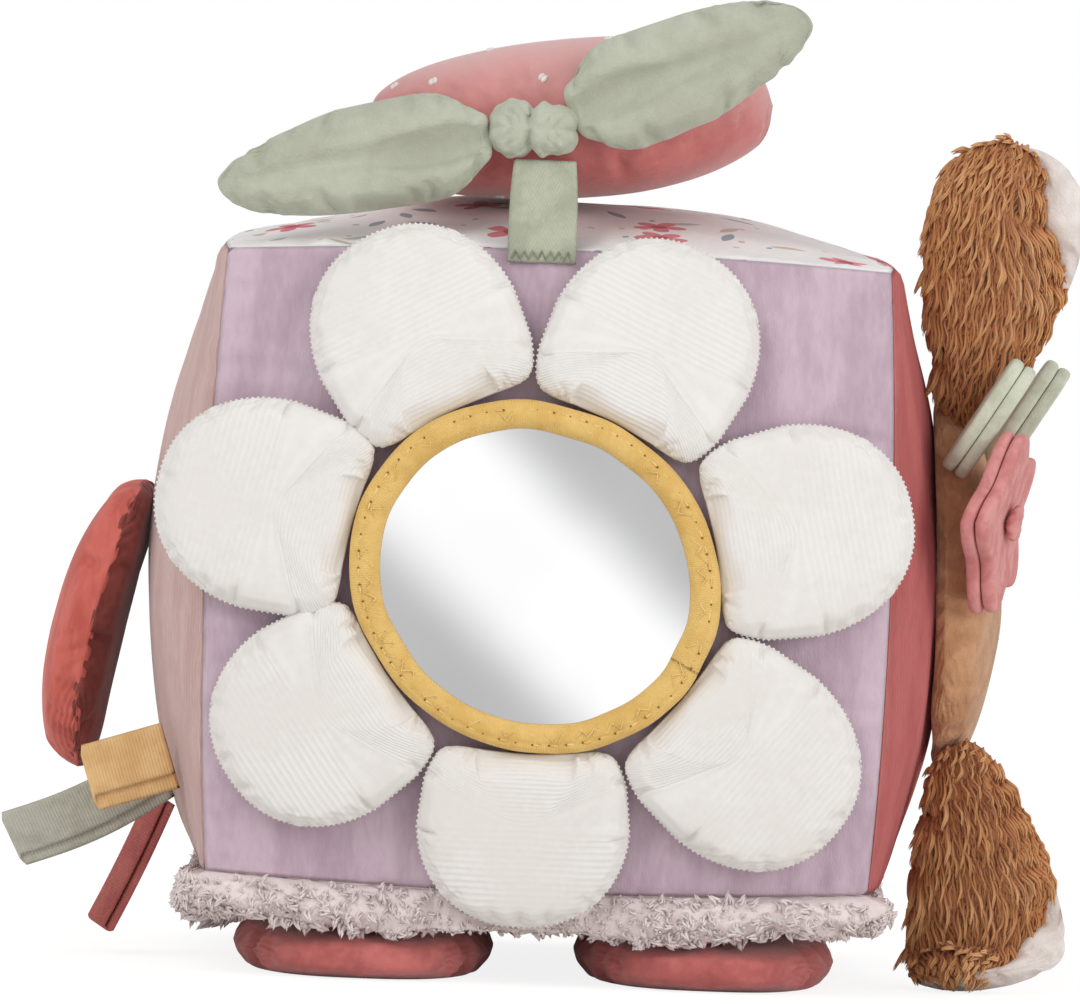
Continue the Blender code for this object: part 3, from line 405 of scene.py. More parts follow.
def leaf_mask(tree, x, y, length, width, low, high, random):
    """A pointed leaf in the cells whose random number lies between low and high."""
    share = add(tree, "Math", x, length, operation="DIVIDE")
    bow = add(tree, "Math", 1, add(tree, "Math", share, share, operation="MULTIPLY"), operation="SUBTRACT")
    half = add(tree, "Math", bow, width, operation="MULTIPLY")
    room = add(tree, "Math", half, add(tree, "Math", y, operation="ABSOLUTE"), operation="SUBTRACT")
    inside = add(tree, "MapRange", room, -0.004, 0.008, **EASED)
    over = add(tree, "Math", random[2], low, operation="GREATER_THAN")
    under = add(tree, "Math", random[2], high, operation="LESS_THAN")
    chosen = add(tree, "Math", over, under, operation="MULTIPLY")
    return add(tree, "Math", inside, chosen, operation="MULTIPLY")


# Cotton jersey: smooth and nearly flat, so that the print stays crisp.
floral_jersey, tree, shader, place, tint, bump = cloth(
    "white_floral_jersey", "F3F1F0", "EAE8E8", 16 * MM, 0.35 * MM, 0.05 * MM, 0.1
)
flat = add(tree, "UVMap", uv_map="cloth")
x, y, random = motif_cells(tree, flat, PRINT_CELL * 0.62, 0.013)
for low, high, code in ((0.0, 0.14, "97A1AE"), (0.14, 0.3, "B4BFBA"), (0.3, 0.4, "CDBBA8")):
    mask = leaf_mask(tree, x, y, 0.4, 0.11, low, high, random)
    tint = add(tree, "Mix", {0: mask, 6: tint, 7: colour(code)}, **COLOURS)
x, y, random = motif_cells(tree, flat, PRINT_CELL * 0.34, 0.171)
for low, high, code in ((0.0, 0.05, "D9A8A0"), (0.05, 0.11, "A0AAB6"), (0.11, 0.17, "DAC79C")):
    mask = leaf_mask(tree, x, y, 0.16, 0.12, low, high, random)
    tint = add(tree, "Mix", {0: mask, 6: tint, 7: colour(code)}, **COLOURS)
x, y, random = motif_cells(tree, flat, PRINT_CELL, 0.045)
bloom, heart = flower_mask(tree, x, y, 0.33, 0.5, random)
tint = add(tree, "Mix", {0: bloom, 6: tint, 7: colour("D98088")}, **COLOURS)
tint = add(tree, "Mix", {0: heart, 6: tint, 7: colour("B9525E")}, **COLOURS)
tree.links.new(tint, shader.inputs["Base Color"])
print("print cell", PRINT_CELL * 1000, "mm")

# %% [markdown]
# ### Woven tapes, cotton, film and plastic
# The strap is a brushed tape with the lines of a twill, which slant both ways. The labels are
# woven ribbons with fine cross ribs. The ring is plain cotton, whose weave of two crossed sets of
# threads is drawn as one set of fine ribs. The mirror is a metal film, with a very slight waviness
# that makes its reflection soft.

# %% Tapes and ribbons
def woven(name, light, dark, pitch, slant=0.0, depth=0.08 * MM, sheen=0.15):
    """A ribbon with fine ribs across it and painted shade in the grooves between them. slant tips the ribs
    into a herringbone.
    """
    made, tree, shader, place, tint, bump = cloth(name, light, dark, 7 * MM, 0.4 * MM, 0.06 * MM, sheen)
    across, along = cloth_uv(tree)[:2]
    shifted = add(tree, "Math", across, 1, operation="ADD")
    zigzag = add(tree, "Math", shifted, 2.5 * MM, operation="PINGPONG")
    slanted = add(tree, "Math", zigzag, slant, operation="MULTIPLY")
    position = add(tree, "Math", along, slanted, operation="ADD")
    rib = ribs(tree, position, pitch)
    ridge_bump(tree, shader, bump, rib, depth)
    # Painted shade: the grooves between the ribs are mixed towards the darker colour.
    groove = add(tree, "Math", add(tree, "Math", 1, rib, operation="SUBTRACT"), 0.35, operation="MULTIPLY")
    tint = add(tree, "Mix", {0: groove, 6: tint, 7: colour(dark)}, **COLOURS)
    tree.links.new(tint, shader.inputs["Base Color"])
    return made


# Brushed cotton tape: twill lines 1.5 mm apart, half hidden by a soft nap.
sage_tape = woven("sage_strap_tape", "BFC3AF", "ABAF9B", 1.5 * MM, 2.2, 0.1 * MM, 0.3)
# Grosgrain ribbons: fine cross ribs, real ones near 0.5 mm, drawn at 0.7 mm so that they show.
sage_ribbon = woven("sage_ribbon", "C1C0B2", "AEAD9F", 0.7 * MM)
yellow_ribbon = woven("yellow_ribbon", "EFC890", "DFB47C", 0.7 * MM)
coral_ribbon = woven("coral_ribbon", "C06D66", "AC5A55", 0.7 * MM)
# Thin satin ribbon with hardly any rib, for the care label.
white_ribbon = woven("white_ribbon", "F0EEEA", "DEDCD8", 0.5 * MM)
# Plain cotton poplin: flat and matt, with a weave that is only just visible.
mustard_cotton = woven("mustard_cotton", "EAC57A", "DDB468", 0.55 * MM, 0.0, 0.06 * MM, 0.1)
print("tapes", 6)


# %% Film, board, plastic and thread
def smooth_finish(name, light, dark, patch, roughness, metallic=0.0, wave=0.0, wave_size=20 * MM):
    """A sheet or moulded finish: slow colour change and a shallow wave in the surface."""
    made = bpy.data.materials.new(name)
    made.use_nodes = True
    tree = made.node_tree
    shader = tree.nodes["Principled BSDF"]
    shader.inputs["Roughness"].default_value = roughness
    shader.inputs["Metallic"].default_value = metallic
    place = add(tree, "TexCoord", out="Object")
    share = add(tree, "MapRange", noise(tree, place, patch), 0.3, 0.7, **EASED)
    tint = add(tree, "Mix", {0: share, 6: colour(dark), 7: colour(light)}, **COLOURS)
    tree.links.new(tint, shader.inputs["Base Color"])
    lumps = noise(tree, place, wave_size, 1)
    bump = add(tree, "Bump", {"Height": lumps, "Strength": 1, "Distance": wave}, out=None)
    tree.links.new(bump.outputs[0], shader.inputs["Normal"])
    return made, shader


# Aluminised film: a metal, polished, with a long low wave that bends what it mirrors.
silver_film = smooth_finish(
    "silver_mirror_film", "F7F7F8", "F1F1F2", 30 * MM, 0.06, 1.0, 0.02 * MM, 25 * MM
)[0]
# Foamed board: matt, with tiny cells.
foam_board = smooth_finish("foam_board", "EFEDE8", "E4E1DA", 4 * MM, 0.8, 0.0, 0.05 * MM, 1 * MM)[0]
# Moulded polypropylene: half glossy and very slightly uneven.
white_plastic = smooth_finish(
    "white_rattle_plastic", "F2F0EA", "E9E6DE", 12 * MM, 0.35, 0.0, 0.02 * MM, 3 * MM
)[0]
# Thin crinkled film: clear and half glossy, with sharp small waves.
clear_film, shader = smooth_finish(
    "clear_crinkle_film", "E6E6E0", "D8D8D0", 6 * MM, 0.25, 0.0, 0.6 * MM, 5 * MM
)
shader.inputs["Alpha"].default_value = 0.6
# Threads: matt twisted cotton or rayon, with a grain of about the twist. The needle holes are dark marks of
# painted shade.
mustard_thread = cloth("mustard_thread", "F2D592", "E2BF76", 2 * MM, 0.25 * MM, 0.05 * MM, 0.1)[0]
needle_hole = cloth("needle_hole_shade", "9A7434", "7E5C28", 1 * MM, 0.3 * MM, 0.05 * MM, 0.0)[0]
white_thread = cloth("white_embroidery_thread", "F4EFEC", "E2DAD6", 1.5 * MM, 0.25 * MM, 0.06 * MM, 0.15)[0]
sage_thread = cloth("sage_thread", "A5A994", "8B8F7A", 1.5 * MM, 0.25 * MM, 0.06 * MM, 0.1)[0]
rose_thread = cloth("rose_thread", "B58E93", "98737A", 1.5 * MM, 0.25 * MM, 0.06 * MM, 0.1)[0]
brown_thread = cloth("brown_embroidery_thread", "5E4335", "4A3328", 1.5 * MM, 0.25 * MM, 0.06 * MM, 0.15)[0]
print("film, board, plastic and threads", 10)

# %% [markdown]
# ### Fur and teddy
# Fur is made of real locks further down. Each lock carries a number that runs from 0 at its root
# to 1 at its tip, and a random number of its own. The material reads both: roots are painted dark
# as shade deep in the pile, tips are light, and each lock has its own tone. That painted shade
# gives depth that a flat colour can't.


# %% Pile with roots and tips
LOCK_PATCH = 12 * MM


def lock_finish(name, root, tip, lighter, sheen=0.15, grain=(0.4 * MM, 0.03 * MM)):
    """Painted root shade, lighter tips and a tone of its own for each lock, over slow patches."""
    made, tree, shader, place, tint, bump = cloth(name, tip, tip, LOCK_PATCH, *grain, sheen)
    along = add(tree, "Attribute", out="Fac", attribute_name="along")
    shade = add(tree, "Attribute", out="Fac", attribute_name="shade")
    patches = noise(tree, place, LOCK_PATCH, 2)
    patches = add(tree, "MapRange", patches, 0.35, 0.65, **EASED)
    paler = add(tree, "Math", add(tree, "Math", shade, patches, operation="ADD"), 0.5, operation="MULTIPLY")
    ends = add(tree, "Mix", {0: paler, 6: colour(tip), 7: colour(lighter)}, **COLOURS)
    # Painted shade: the colour darkens towards each lock's root.
    painted_root_shade_fade = add(tree, "MapRange", along, 0.0, 0.75, **EASED)
    tint = add(tree, "Mix", {0: painted_root_shade_fade, 6: colour(root), 7: ends}, **COLOURS)
    tree.links.new(tint, shader.inputs["Base Color"])
    return made


# Long acrylic fur: straw tips, and caramel roots painted darker as shade deep in the pile.
brown_fur = lock_finish("brown_fur", "B87A51", "CE935F", "E2B07D", 0.15)
# Curly teddy: nearly one pale pink from root to tip, with a coarse soft grain and much sheen.
pink_teddy = lock_finish("pink_teddy", "EADBDA", "E8D9D9", "F2E9E5", 0.3, (0.9 * MM, 0.3 * MM))
print("lock finishes", 2)

# %% [markdown]
# ## Making stuffed shapes
# A stuffed piece is two pieces of cloth sewn together round the edge, so it is built that way:
# two grids of points, a front and a back, that share their rim. The square grid is laid over a
# disc, and a rule of the piece's own turns each place on the disc into a place in space. Because
# the grid stays, every point keeps its place on the flat cloth, and ribs can follow it later.


# %% Grids of points
def disc_grid(steps):
    """Turn and share, 0 in the middle and 1 at the rim, of a square grid laid over a disc."""
    line = np.linspace(-1, 1, steps + 1)
    s, t = np.meshgrid(line, line, indexing="ij")
    x, y = s * np.sqrt(1 - t * t / 2), t * np.sqrt(1 - s * s / 2)
    return np.arctan2(y, x), np.minimum(1, np.hypot(x, y))


def power(value, exponent):
    """Power that keeps the sign, which squares off a round outline."""
    return np.sign(value) * np.abs(value) ** exponent


def moved(points, matrix):
    """Grid points taken through a matrix."""
    table = np.array(matrix)
    return points @ table[:3, :3].T + table[:3, 3]


def refine(grid, factor):
    """Adds points between a grid's points, on smooth curves through them."""
    for axis in (0, 1):
        grid = np.moveaxis(grid, axis, 0)
        spots = np.arange((len(grid) - 1) * factor + 1) / factor
        start = np.minimum(spots.astype(int), len(grid) - 2)
        f = (spots - start)[:, None, None]
        ends = np.concatenate((2 * grid[:1] - grid[1:2], grid, 2 * grid[-1:] - grid[-2:-1]))
        a, b, c, d = (ends[start + i] for i in range(4))
        grid = 0.5 * (
            2 * b + (c - a) * f + (2 * a - 5 * b + 4 * c - d) * f**2 + (3 * b - a - 3 * c + d) * f**3
        )
        grid = np.moveaxis(grid, 0, axis)
    return grid


def grid_normals(grid, outward):
    """Unit normals of a grid, turned to the side that outward points to."""
    normals = np.cross(np.gradient(grid, axis=0), np.gradient(grid, axis=1))
    normals /= np.maximum(np.linalg.norm(normals, axis=-1, keepdims=True), 1e-12)
    if np.sum(normals * outward) < 0:
        normals = -normals
    return normals


def lumps(points, size, seed, waves=20):
    """Smooth random bumps of about that size: cosine waves in random directions, about -1 to 1."""
    random = np.random.default_rng(seed)
    ways = random.normal(size=(waves, points.shape[-1]))
    ways *= (math.tau / (size * random.uniform(1.4, 3, waves)) / np.linalg.norm(ways, axis=1))[:, None]
    return np.cos(points @ ways.T + random.uniform(0, math.tau, waves)).sum(-1) / math.sqrt(waves)


print("a disc of 8 steps has", disc_grid(8)[0].size, "points")

# %% Closed shells
def quads(index):
    """Four-sided faces of a grid of point numbers."""
    corners = (index[:-1, :-1], index[1:, :-1], index[1:, 1:], index[:-1, 1:])
    return np.stack(corners, -1).reshape(-1, 4)


def close_shell(front, back):
    """Points and faces of one closed shell from two grids that share their rim."""
    rows, columns = front.shape[:2]
    top = np.arange(rows * columns).reshape(rows, columns)
    low = top.copy()
    low[1:-1, 1:-1] = rows * columns + np.arange((rows - 2) * (columns - 2)).reshape(rows - 2, columns - 2)
    width = front.shape[-1]
    points = np.concatenate((front.reshape(-1, width), back[1:-1, 1:-1].reshape(-1, width)))
    return points, np.concatenate((quads(top), quads(low)[:, ::-1]))


def build(name, points, faces, material, flat=None, more=None):
    """An object from arrays: smooth faces turned outwards, the flat map and any point values."""
    mesh = bpy.data.meshes.new(name)
    mesh.from_pydata(points.tolist(), [], faces.tolist() if hasattr(faces, "tolist") else faces)
    mesh.shade_smooth()
    corner = np.empty(len(mesh.loops), int)
    mesh.loops.foreach_get("vertex_index", corner)
    if flat is not None:
        mesh.uv_layers.new(name="cloth").data.foreach_set("uv", flat[corner].astype(np.float32).ravel())
    for label, values in (more or {}).items():
        kind = "FLOAT_VECTOR" if values.ndim == 2 else "FLOAT"
        field = "vector" if values.ndim == 2 else "value"
        mesh.attributes.new(label, kind, "POINT").data.foreach_set(field, values.astype(np.float32).ravel())
    mesh.materials.append(material)
    made = bpy.data.objects.new(name, mesh)
    bpy.context.scene.collection.objects.link(made)
    return made


def turn_outward(points, faces):
    """Flips the faces of a closed shell if they point inwards."""
    middle = points.mean(0)
    a, b, c = (points[faces[:, i]] - middle for i in range(3))
    return faces[:, ::-1] if np.einsum("ij,ij->", a, np.cross(b, c)) < 0 else faces


def build_shell(name, front, back, material, flat=None):
    """A closed piece from two grids that share their rim, with the map of its flat cloth."""
    points, faces = close_shell(front, back)
    maps = None if flat is None else close_shell(flat, flat)[0]
    return build(name, points, turn_outward(points, faces), material, maps)


def take_rim(grid, other):
    """Moves a grid's rim onto the other grid's rim."""
    grid[0], grid[-1], grid[:, 0], grid[:, -1] = other[0], other[-1], other[:, 0], other[:, -1]


def mark_along(piece, value):
    """Gives a whole piece one place between root, 0, and tip, 1, for the pile's material."""
    values = np.full(len(piece.data.vertices), value, np.float32)
    piece.data.attributes.new("along", "FLOAT", "POINT").data.foreach_set("value", values)


def place_piece(piece, body, stands_for=()):
    """Fixes a finished piece to its body and hides the nodes that it stands for."""
    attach(piece, body)
    if stands_for:
        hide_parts(*stands_for)
    return piece


def count(*pieces):
    """Faces of all the pieces."""
    return sum(len(piece.data.polygons) for piece in pieces)


# %% [markdown]
# ## The swollen block
# A cube of cloth swells when it is stuffed: each face bulges in the middle and is held back at
# its seams. One rule gives that shape for every face, from three shares of the half size. The
# frame uses the same rule, so the cloth lies exactly where the plain panels are.

# %% Rule of the block
HALF = np.array((75, 75, 70.5)) * MM
MIDDLE = 90.5 * MM
FRONT_CROWN, BACK_CROWN, SIDE_CROWN = 7 * MM, 14 * MM, 15 * MM
TOP_CROWN, BOTTOM_CROWN = 12 * MM, 11 * MM
SAG, DRAW = 0.2, 0.03
SOFT_GAP = 0.4 * MM
SEAM_GAP = 0.3 * MM


def swell(a, b, c):
    """Point of the stuffed block at shares a, b, c of its half size."""
    flat_a, flat_b, flat_c = 1 - a * a, 1 - b * b, 1 - c * c
    side = SIDE_CROWN * (1 - SAG * c)
    deep = np.where(b < 0, FRONT_CROWN, BACK_CROWN)
    high = np.where(c < 0, BOTTOM_CROWN, TOP_CROWN)
    x = a * (HALF[0] + side * flat_b * flat_c)
    y = b * (HALF[1] + deep * flat_a * flat_c)
    z = c * (HALF[2] + high * flat_a * flat_b)
    draw = 1 - DRAW * (a * b * c) ** 2
    return np.stack((x * draw, y * draw, MIDDLE + z * draw), -1)


def side_reach(y, z):
    """How far the block's sides stand out at that depth and height."""
    b = np.clip(y / HALF[1], -1, 1)
    c = np.clip((z - MIDDLE) / HALF[2], -1, 1)
    return np.abs(swell(np.ones_like(b), b, c)[..., 0])


def underside(x, y):
    """Height of the block's lower face at that place."""
    a, b = np.clip(x / HALF[0], -1, 1), np.clip(y / HALF[1], -1, 1)
    return swell(a, b, -np.ones_like(a))[..., 2]


print("widest mm", round(2000 * float(side_reach(np.array(0.0), np.array(MIDDLE))), 1))

# %% [markdown]
# ### Six faces of cloth
# Each face is a skin of cloth, 2 mm thick with its backing. Towards a seam it rolls inwards, and
# where two faces meet that leaves the soft groove of a real seam. The thread draws the cloth up,
# so the seam is puckered: small folds start at the seam and fade out over about 10 mm. A machine
# can't stuff evenly either, so slow lumps of under a millimetre run over each face.

# %% Panel skins
PANEL_INSET = 2 * MM
SKIN_GAP = 0.03 * MM
ROLL = 5.5 * MM
ROLL_DEPTH = 0.75 * MM
PUCKER = 0.55 * MM
PUCKER_REACH = 9 * MM
PUCKER_SIZE = 3.4 * MM
LUMP = 0.5 * MM


def panel_skin(name, axis, sign, material, rows, columns, seed, relief=None):
    """One face of the block. relief adds height to the outer cloth from its flat place."""
    others = [i for i in range(3) if i != axis]
    u, v = np.meshgrid(np.linspace(-1, 1, rows + 1), np.linspace(-1, 1, columns + 1), indexing="ij")
    flat = np.stack((u * HALF[others[0]], v * HALF[others[1]]), -1)
    edge_u, edge_v = HALF[others[0]] * (1 - np.abs(u)), HALF[others[1]] * (1 - np.abs(v))
    edge = np.minimum(edge_u, edge_v)

    def layer(inset):
        shares = [None] * 3
        shares[axis] = sign * (1 - inset / HALF[axis])
        for share, i in zip((u, v), others):
            shares[i] = share * (1 - (inset + SKIN_GAP) / HALF[i])
        return swell(*shares)

    near = np.clip(1 - edge / ROLL, 0, 1)
    outer = layer(ROLL_DEPTH * (1 - np.sqrt(1 - near**2)))
    normals = grid_normals(outer, outer - np.array((0, 0, MIDDLE)))
    fold_u = lumps(flat * (0.15, 1), PUCKER_SIZE, seed) * np.exp(-edge_u / PUCKER_REACH)
    fold_v = lumps(flat * (1, 0.15), PUCKER_SIZE, seed + 1) * np.exp(-edge_v / PUCKER_REACH)
    fade = np.clip(edge / (0.6 * ROLL), 0, 1)
    height = PUCKER * (fold_u + fold_v) * fade + LUMP * (lumps(flat, 22 * MM, seed + 2) - 0.5) * fade
    if relief:
        height = height + relief(flat) * fade
    outer = outer + normals * height[..., None]
    inner = layer(np.full_like(u, PANEL_INSET))
    take_rim(inner, outer)
    skin = build_shell(name + "_cloth", outer, inner, material, flat)
    place_piece(skin, "block", (name,))
    return skin, outer


def wales(flat):
    """Rounded upright ridges of the corduroy."""
    return 0.45 * MM * (np.abs(np.cos(flat[..., 0] * math.pi / WALE)) - 0.6)


front_cloth, front_grid = panel_skin("front_panel", 1, -1, lilac_velour, 110, 110, 11)
back_cloth, back_grid = panel_skin("back_panel", 1, 1, grey_velour, 80, 80, 12)
left_cloth, left_grid = panel_skin("left_panel", 0, -1, peach_velour, 80, 80, 13)
right_cloth, right_grid = panel_skin(
    "right_panel", 0, 1, rose_corduroy, 440, 60, 14, wales
)
top_cloth, top_grid = panel_skin("top_panel", 2, 1, floral_jersey, 80, 80, 15)
bottom_cloth, bottom_grid = panel_skin("bottom_panel", 2, -1, pink_teddy, 60, 60, 16)
mark_along(bottom_cloth, 0.5)
print("panel faces", count(front_cloth, back_cloth, left_cloth, right_cloth, top_cloth, bottom_cloth))

# %% [markdown]
# ## The forms of the stuffed pieces
# Every pad below is two grids, made from the same rule as its plain solid. They are collected
# first and stuffed together afterwards, because one cloth simulation for all is much quicker than
# one for each. Matrices stand for the hinges: a pad's rule is written as if its hinge lay at the
# origin, and the matrix takes it to its place.

# %% Pads
pads = {}
RIM_RINGS = 1.4


def pad(name, rule, matrix, steps, fill, flat_size):
    """Stores a pad. rule(turn, share, lift) gives points, and flat_size its size across and along."""
    turn, share = disc_grid(steps)
    share = 1 - (1 - share) ** RIM_RINGS
    lift = np.sqrt(np.maximum(0, 1 - share ** (2 / fill)))
    flat = np.stack((np.sin(turn) * share * flat_size[0] / 2, np.cos(turn) * share * flat_size[1] / 2), -1)
    front = moved(rule(turn, share, lift), matrix)
    back = moved(rule(turn, share, -lift), matrix)
    pads[name] = {"front": front, "back": back, "flat": flat}


FLOWER = Matrix.Translation(Vector((-2.8, -82.4, 89.5)) * MM) @ Matrix.Rotation(math.pi / 2, 4, "X")
RING_RADIUS, RING_WIDTH, RING_PUFF = 39.2 * MM, 6.5 * MM, 2.6 * MM
RING_OVAL, RING_TILT = 0.05, math.radians(-28)
PETAL_LENGTH, PETAL_WIDTH, PETAL_ROOT = 42.5 * MM, 46 * MM, 36.8 * MM
PETAL_HINGE_SET = 1.2 * MM
PETAL_HINGE_RISE, PETAL_TILT = 2.2 * MM, math.radians(8)
PETAL_WIDEST = 0.42
PETAL_FRONT_PUFF, PETAL_BACK_PUFF = 3.6 * MM, 1.4 * MM
PETALS = {
    "top_left": (118, 1.0),
    "left": (167, 1.03),
    "lower_left": (215.5, 0.98),
    "bottom": (269.5, 0.9),
    "lower_right": (321.5, 1.06),
    "right": (12, 1.03),
    "top_right": (65, 0.99),
}


def oval_reach(angle):
    """Outer radius of the slightly oval ring at an angle."""
    turn = angle - RING_TILT
    return RING_RADIUS / math.hypot(math.cos(turn) / (1 + RING_OVAL), math.sin(turn) / (1 - RING_OVAL))


def petal_rule(angle, reach):
    """A petal: a round tip, and a straight root that is cut along the ring."""
    length = PETAL_LENGTH * reach
    middle = length * PETAL_WIDEST
    edge = oval_reach(angle) + SEAM_GAP

    def rule(turn, share, lift):
        across, along = np.sin(turn), np.cos(turn)
        tip_x = middle + (length - middle) * along * share
        tip_y = PETAL_WIDTH / 2 * power(across, 0.9) * share
        root_x = middle + middle * power(along, 0.26) * share
        narrow = (middle - root_x) / middle
        width = PETAL_WIDTH + (PETAL_ROOT - PETAL_WIDTH) * narrow**2
        root_y = width / 2 * power(across, 0.26) * share
        root_x = root_x - (edge - np.sqrt(edge**2 - root_y**2)) * 0.5 * narrow
        x, y = np.where(along >= 0, tip_x, root_x), np.where(along >= 0, tip_y, root_y)
        z = np.where(lift > 0, PETAL_FRONT_PUFF, PETAL_BACK_PUFF) * lift
        return np.stack((x - PETAL_HINGE_SET, y, z), -1)

    return rule


for side, (degrees, reach) in PETALS.items():
    angle = math.radians(degrees)
    distance = oval_reach(angle) + SEAM_GAP + PETAL_HINGE_SET
    hinge = Matrix.Translation((distance * math.cos(angle), distance * math.sin(angle), PETAL_HINGE_RISE))
    hinge = FLOWER @ hinge @ Matrix.Rotation(angle, 4, "Z") @ Matrix.Rotation(PETAL_TILT, 4, "Y")
    pad("petal_" + side, petal_rule(angle, reach), hinge, 26, 0.36, (PETAL_WIDTH, PETAL_LENGTH * reach))
print("pads", len(pads))

# %% Strawberry, knot and leaves
STRAP_HINGE = Vector((-4, -76.9, 157.5)) * MM
BERRY_HINGE = Vector((-4, -70.4, 180.4)) * MM
BERRY_SIZE = Vector((88, 80, 36)) * MM
BERRY_TAPER = 0.24
BERRY_LEAN = math.radians(-6)
KNOT_SIZE = Vector((19, 11, 12.5)) * MM
KNOT_PLACE = BERRY_HINGE + Vector((-3, 0, 6.25)) * MM
LEAF_THICKNESS = 10 * MM
LEAVES = {"left": (60 * MM, 23 * MM, math.radians(192)), "right": (56 * MM, 24 * MM, math.radians(23))}


def berry_rule(turn, share, lift):
    """The strawberry: widest near its bow, narrow at its tip."""
    along = -np.cos(turn) * share
    width = BERRY_SIZE.x / 2 * (1 - BERRY_TAPER * (along + along**2 / 2))
    x = width * power(np.sin(turn), 0.85) * share
    return np.stack((x, BERRY_SIZE.y / 2 * along, BERRY_SIZE.z / 2 * lift * (1 - BERRY_TAPER * along)), -1)


def knot_rule(turn, share, lift):
    """The knot: a pillow with a slight waist."""
    across = share * np.cos(turn)
    waist = 1 - 0.08 * (1 - across**2)
    y = KNOT_SIZE.y / 2 * share * np.sin(turn) * waist
    return np.stack((KNOT_SIZE.x / 2 * across, y, KNOT_SIZE.z / 2 * lift * waist), -1)


def leaf_rule(length, width):
    """A bow leaf: pointed, creased along its length, with a neck."""
    def rule(turn, share, lift):
        square = np.where(np.cos(turn) < 0, 0.45, 0.95)
        along, across = power(np.cos(turn), square) * share, power(np.sin(turn), square) * share
        crease = np.exp(-((across / 0.22) ** 2))
        thick = LEAF_THICKNESS / 2 * (1 - 0.35 * crease)
        neck = 1 - 0.42 * np.exp(-(((along + 1) / 0.22) ** 2))
        slope = 1 - 0.38 * np.clip((along - 0.05) / 0.95, 0, 1) ** 1.2 * (across < 0)
        z = width / 2 * across * (1 - 0.1 * along) * neck * slope
        reach_in = (SOFT_GAP - 0.1 * MM) * np.exp(-(1 + along) / 0.1)
        return np.stack((length / 2 * (1 + along) - reach_in, -thick * lift, z), -1)

    return rule


berry_place = BERRY_HINGE + Vector((5, 3.9 + 40, 9.5)) * MM
berry_turn = Matrix.Translation(berry_place) @ Matrix.Rotation(BERRY_LEAN, 4, "Y")
pad("strawberry_body", berry_rule, berry_turn, 34, 0.7, BERRY_SIZE[:2])
pad("bow_knot", knot_rule, Matrix.Translation(KNOT_PLACE), 20, 0.5, (KNOT_SIZE.z, KNOT_SIZE.x))
leaf_frames = {}
for side, (length, width, angle) in LEAVES.items():
    reach = 1 / math.hypot(math.cos(angle) / KNOT_SIZE.x, math.sin(angle) / KNOT_SIZE.z) / 2
    root = KNOT_PLACE + Vector((math.cos(angle), 0, math.sin(angle))) * (reach + SOFT_GAP)
    leaf_frames[side] = Matrix.Translation(root) @ Matrix.Rotation(-angle, 4, "Y")
    pad(side + "_bow_leaf", leaf_rule(length, width), leaf_frames[side], 28, 0.75, (width, length))
print("pads", len(pads))

# %% Flap
FLAP_LENGTH, FLAP_WIDTH, FLAP_FLARE = 65 * MM, 58 * MM, 13 * MM
FLAP_Z = MIDDLE + 15.5 * MM
FLAP_Y = -2 * MM
FLAP_X = -float(side_reach(np.array(FLAP_Y), np.array(FLAP_Z))) - 2.5 * MM - SOFT_GAP
FLAP_EDGE = 0.27 * MM
FLAP = Matrix.Translation((FLAP_X, FLAP_Y, FLAP_Z))


def flap_rule(level, outer, inner):
    """One layer of the flap, which leans out as it hangs."""
    def rule(turn, share, lift):
        side, down = np.cos(turn), np.sin(turn)
        square = np.where(down < 0, 0.5, 1.0)
        y = FLAP_WIDTH / 2 * power(side, square) * share
        low = FLAP_LENGTH / 2 * (1 + power(down, square) * share)
        flare = FLAP_FLARE * np.sin(low / FLAP_LENGTH * math.pi / 2)
        swelling = outer * np.maximum(0, lift) + inner * np.minimum(0, lift)
        return np.stack((-flare - level * (1 - share**12) - swelling, y, -low), -1)

    return rule


pad("flap_cover", flap_rule(FLAP_EDGE, 9 * MM, 0.2 * MM), FLAP, 28, 0.7, (FLAP_LENGTH, FLAP_WIDTH))
pad("flap_lining", flap_rule(-FLAP_EDGE, 0.2 * MM, 5 * MM), FLAP, 28, 0.7, (FLAP_LENGTH, FLAP_WIDTH))
print("pads", len(pads))

# %% Head, ears and lobes
HEAD_Y = -14 * MM
HEAD_EDGE, HEAD_THICKNESS = 3 * MM, 11 * MM
EAR_LENGTH, EAR_WIDTH, EAR_FUR, EAR_LINING = 63 * MM, 34 * MM, 8 * MM, 4 * MM
EAR_FOLD = 9 * MM
BARE_SHARE, BARE_PUFF = 0.42, 2.5 * MM
EAR_LEAN, EAR_TURN = math.radians(9.5), math.radians(20)
HEAD_HALF_DEPTH, HEAD_HALF_HEIGHT = 32 * MM, 41 * MM
EAR_FROM_CROWN = 17 * MM
LOBE_X, LOBE_Y, LOBE_HALF_WIDTH, LOBE_HALF_DEPTH = 38 * MM, -15 * MM, 29 * MM, 61 * MM
LOBE_HALF_HEIGHT, LOBE_FLAT = 5.5 * MM, 0.5 * MM


def head_rule(turn, share, lift):
    """The head: an oval that lies on the block's side."""
    y = HEAD_Y + HEAD_HALF_DEPTH * power(np.cos(turn), 0.92) * share
    z = MIDDLE + HEAD_HALF_HEIGHT * power(np.sin(turn), 0.92) * share
    high = HEAD_EDGE + (HEAD_THICKNESS - HEAD_EDGE) * np.maximum(0, lift) ** 0.8
    low = HEAD_EDGE * (1 - np.maximum(0, -lift) ** 0.8)
    return np.stack((side_reach(y, z) + SOFT_GAP + np.where(lift > 0, high, low), y, z), -1)


